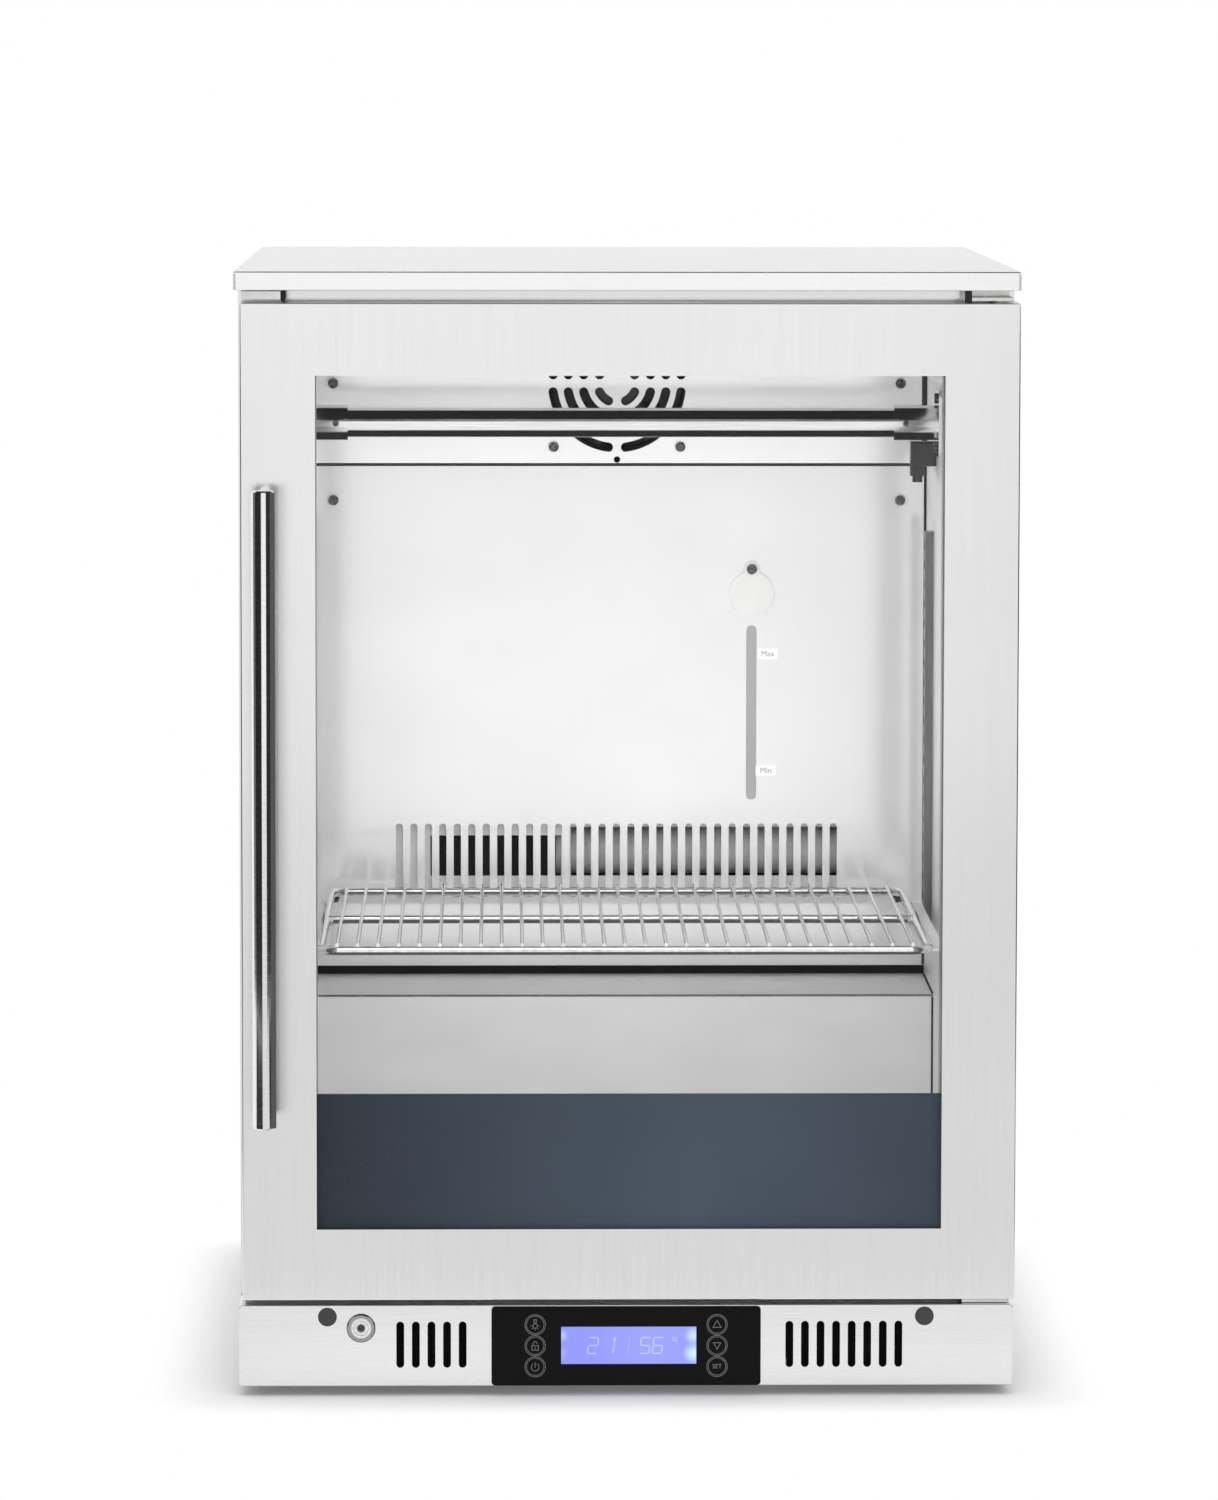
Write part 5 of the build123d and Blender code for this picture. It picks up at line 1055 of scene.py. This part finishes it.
low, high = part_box("rear_panel")
inset = mm(rearScrews["edge"])
bm = bmesh.new()
for column in range(rearScrews["across"]):
    x = low.x + inset + (high.x - low.x - 2 * inset) * column / (rearScrews["across"] - 1)
    for z in (low.z + inset, high.z - inset):
        addRearScrew(bm, x, high.y, z)
for row in range(1, rearScrews["up"] - 1):
    z = low.z + inset + (high.z - low.z - 2 * inset) * row / (rearScrews["up"] - 1)
    for x in (low.x + inset, high.x - inset):
        addRearScrew(bm, x, high.y, z)
fitted("rear_panel_screws", bm, skins["screw_steel"], "cabinet")
print("Rear panel screwed on")


# 1 for the rays by which the camera, mirrors and glass see the stage, and 0 for those that light matt
# surfaces
def seenShare(tree):
    ray = addNode(tree, "ShaderNodeLightPath")
    seen = addNode(tree, "ShaderNodeMath", {
        0: ray.outputs["Is Camera Ray"], 1: ray.outputs["Is Glossy Ray"]}, operation="MAXIMUM")
    return addNode(tree, "ShaderNodeMath", {
        0: seen.outputs[0], 1: ray.outputs["Is Transmission Ray"]}, operation="MAXIMUM").outputs[0]


world = bpy.data.worlds.new("studioWhite")
bpy.context.scene.world = world
world.use_nodes = True
world.node_tree.nodes.clear()
tree = world.node_tree
white = addNode(tree, "ShaderNodeBackground", {"Color": linear("#ffffff"), "Strength": 1.0})
fill = addNode(tree, "ShaderNodeBackground", {"Color": linear("#ffffff"), "Strength": stage["fill"]})
surround = addNode(tree, "ShaderNodeMixShader", {
    0: seenShare(tree), 1: fill.outputs[0], 2: white.outputs[0]})
addNode(tree, "ShaderNodeOutputWorld", {"Surface": surround.outputs[0]})

# White paper that turns to plain white a little way off the case's foot, and keeps the shadow next to it
floorMaterial, tree = newMaterial("studioFloorPaper")
paper = addNode(tree, "ShaderNodeBsdfDiffuse", {"Color": linear(stage["floorWhite"])})
glow = addNode(tree, "ShaderNodeEmission", {"Color": linear("#ffffff"), "Strength": 1.0})
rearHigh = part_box("rear_panel")[1]
footMiddle = ((fasciaLow.x + rearHigh.x) / 2, (fasciaLow.y + rearHigh.y) / 2, 0.0)
footHalf = ((rearHigh.x - fasciaLow.x) / 2, (rearHigh.y - fasciaLow.y) / 2, 0.0)
moved = addNode(tree, "ShaderNodeVectorMath", {
    0: addNode(tree, "ShaderNodeTexCoord").outputs["Object"], 1: footMiddle}, operation="SUBTRACT")
fromMiddle = addNode(tree, "ShaderNodeVectorMath", {0: moved.outputs[0]}, operation="ABSOLUTE")
pastFoot = addNode(tree, "ShaderNodeVectorMath", {
    0: fromMiddle.outputs[0], 1: footHalf}, operation="SUBTRACT")
outward = addNode(tree, "ShaderNodeVectorMath", {
    0: pastFoot.outputs[0], 1: (0.0, 0.0, 0.0)}, operation="MAXIMUM")
away = addNode(tree, "ShaderNodeVectorMath", {0: outward.outputs[0]}, operation="LENGTH")
(near, far), (nearGlow, farGlow) = stage["floorGlowReach"], stage["floorGlow"]
whiteness = addNode(tree, "ShaderNodeMapRange", {
    "Value": away.outputs["Value"], "From Min": near, "From Max": far, "To Min": nearGlow,
    "To Max": farGlow}, interpolation_type="SMOOTHSTEP")
glowShare = addNode(tree, "ShaderNodeMath", {
    0: seenShare(tree), 1: whiteness.outputs[0]}, operation="MULTIPLY")
paperLit = addNode(tree, "ShaderNodeMixShader", {
    0: glowShare.outputs[0], 1: paper.outputs[0], 2: glow.outputs[0]})
addNode(tree, "ShaderNodeOutputMaterial", {"Surface": paperLit.outputs[0]})
bm = bmesh.new()
half = stage["floorHalf"]
bm.faces.new([bm.verts.new((x * half, y * half, 0)) for x, y in ((-1, -1), (1, -1), (1, 1), (-1, 1))])
floor = placed("studioFloor", meshFrom("studioFloor", bm))
floor.data.materials.append(floorMaterial)


# A card that only mirror rays see, in one plain tone
def addMirroredOnly(name, bm, tone):
    material, tree = newMaterial(name + "Cloth")
    cloth = addNode(tree, "ShaderNodeEmission", {"Color": linear(tone), "Strength": 1.0})
    addNode(tree, "ShaderNodeOutputMaterial", {"Surface": cloth.outputs[0]})
    card = placed(name, meshFrom(name, bm))
    card.data.materials.append(material)
    card.visible_camera = False
    card.visible_diffuse = False
    card.visible_shadow = False
    card.visible_transmission = False


# A strip round the stage's middle, between two edges given as radius and height
def addBentCard(name, first, last, tone, edges):
    turns = [math.radians(first + (last - first) * step / stage["bendSteps"])
             for step in range(stage["bendSteps"] + 1)]
    bm = bmesh.new()
    for a, b in zip(turns, turns[1:]):
        corners = ((a, edges[0]), (b, edges[0]), (b, edges[1]), (a, edges[1]))
        bm.faces.new([bm.verts.new((stage["flagMiddle"] + radius * math.sin(turn),
                                    -radius * math.cos(turn), height))
                      for turn, (radius, height) in corners])
    addMirroredOnly(name, bm, tone)


for name, (first, last, tone) in stage["flags"].items():
    addBentCard(name, first, last, tone,
                [(stage["flagRadius"], height) for height in (stage["flagLow"], stage["flagHigh"])])
for name, (first, last, tone) in stage["floorFlags"].items():
    addBentCard(name, first, last, tone,
                [(radius, stage["floorFlagHigh"]) for radius in stage["floorFlagReach"]])
for name, (low, high, tone) in stage["cards"].items():
    first, second = [axis for axis in range(3) if low[axis] != high[axis]]
    bm = bmesh.new()
    corners = []
    for atFirst, atSecond in ((low, low), (high, low), (high, high), (low, high)):
        corner = list(low)
        corner[first], corner[second] = atFirst[first], atSecond[second]
        corners.append(bm.verts.new(corner))
    bm.faces.new(corners)
    addMirroredOnly(name, bm, tone)
print("Cards and flags up")

# One wide lamp over the camera, and a weak one behind the door's glass
lamp = bpy.data.objects.new("studioLamp", bpy.data.lights.new("studioLamp", "AREA"))
lamp.data.size = stage["lampSize"]
lamp.data.energy = stage["lampPower"]
lamp.location = stage["lampPlace"]
lamp.rotation_euler = (Vector(stage["lampAim"]) - lamp.location).to_track_quat("-Z", "Y").to_euler()
lamp.visible_glossy = False
bpy.context.scene.collection.objects.link(lamp)
inside = bpy.data.objects.new("studioLampInside", bpy.data.lights.new("studioLampInside", "AREA"))
paneLow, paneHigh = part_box("glass_inner")
inside.data.shape = "RECTANGLE"
inside.data.size = (paneHigh.x - paneLow.x) * stage["insideLampShare"][0]
inside.data.size_y = (paneHigh.z - paneLow.z) * stage["insideLampShare"][1]
inside.data.energy = stage["insideLampPower"]
inside.location = ((paneLow.x + paneHigh.x) / 2, paneHigh.y + mm(stage["insideLampBehind"]),
                   (paneLow.z + paneHigh.z) / 2 + mm(stage["insideLampRaise"]))
inside.rotation_euler = (math.radians(90), 0, 0)
inside.visible_camera = False
inside.visible_glossy = False
inside.visible_transmission = False
bpy.context.scene.collection.objects.link(inside)
print("Stage and light set")
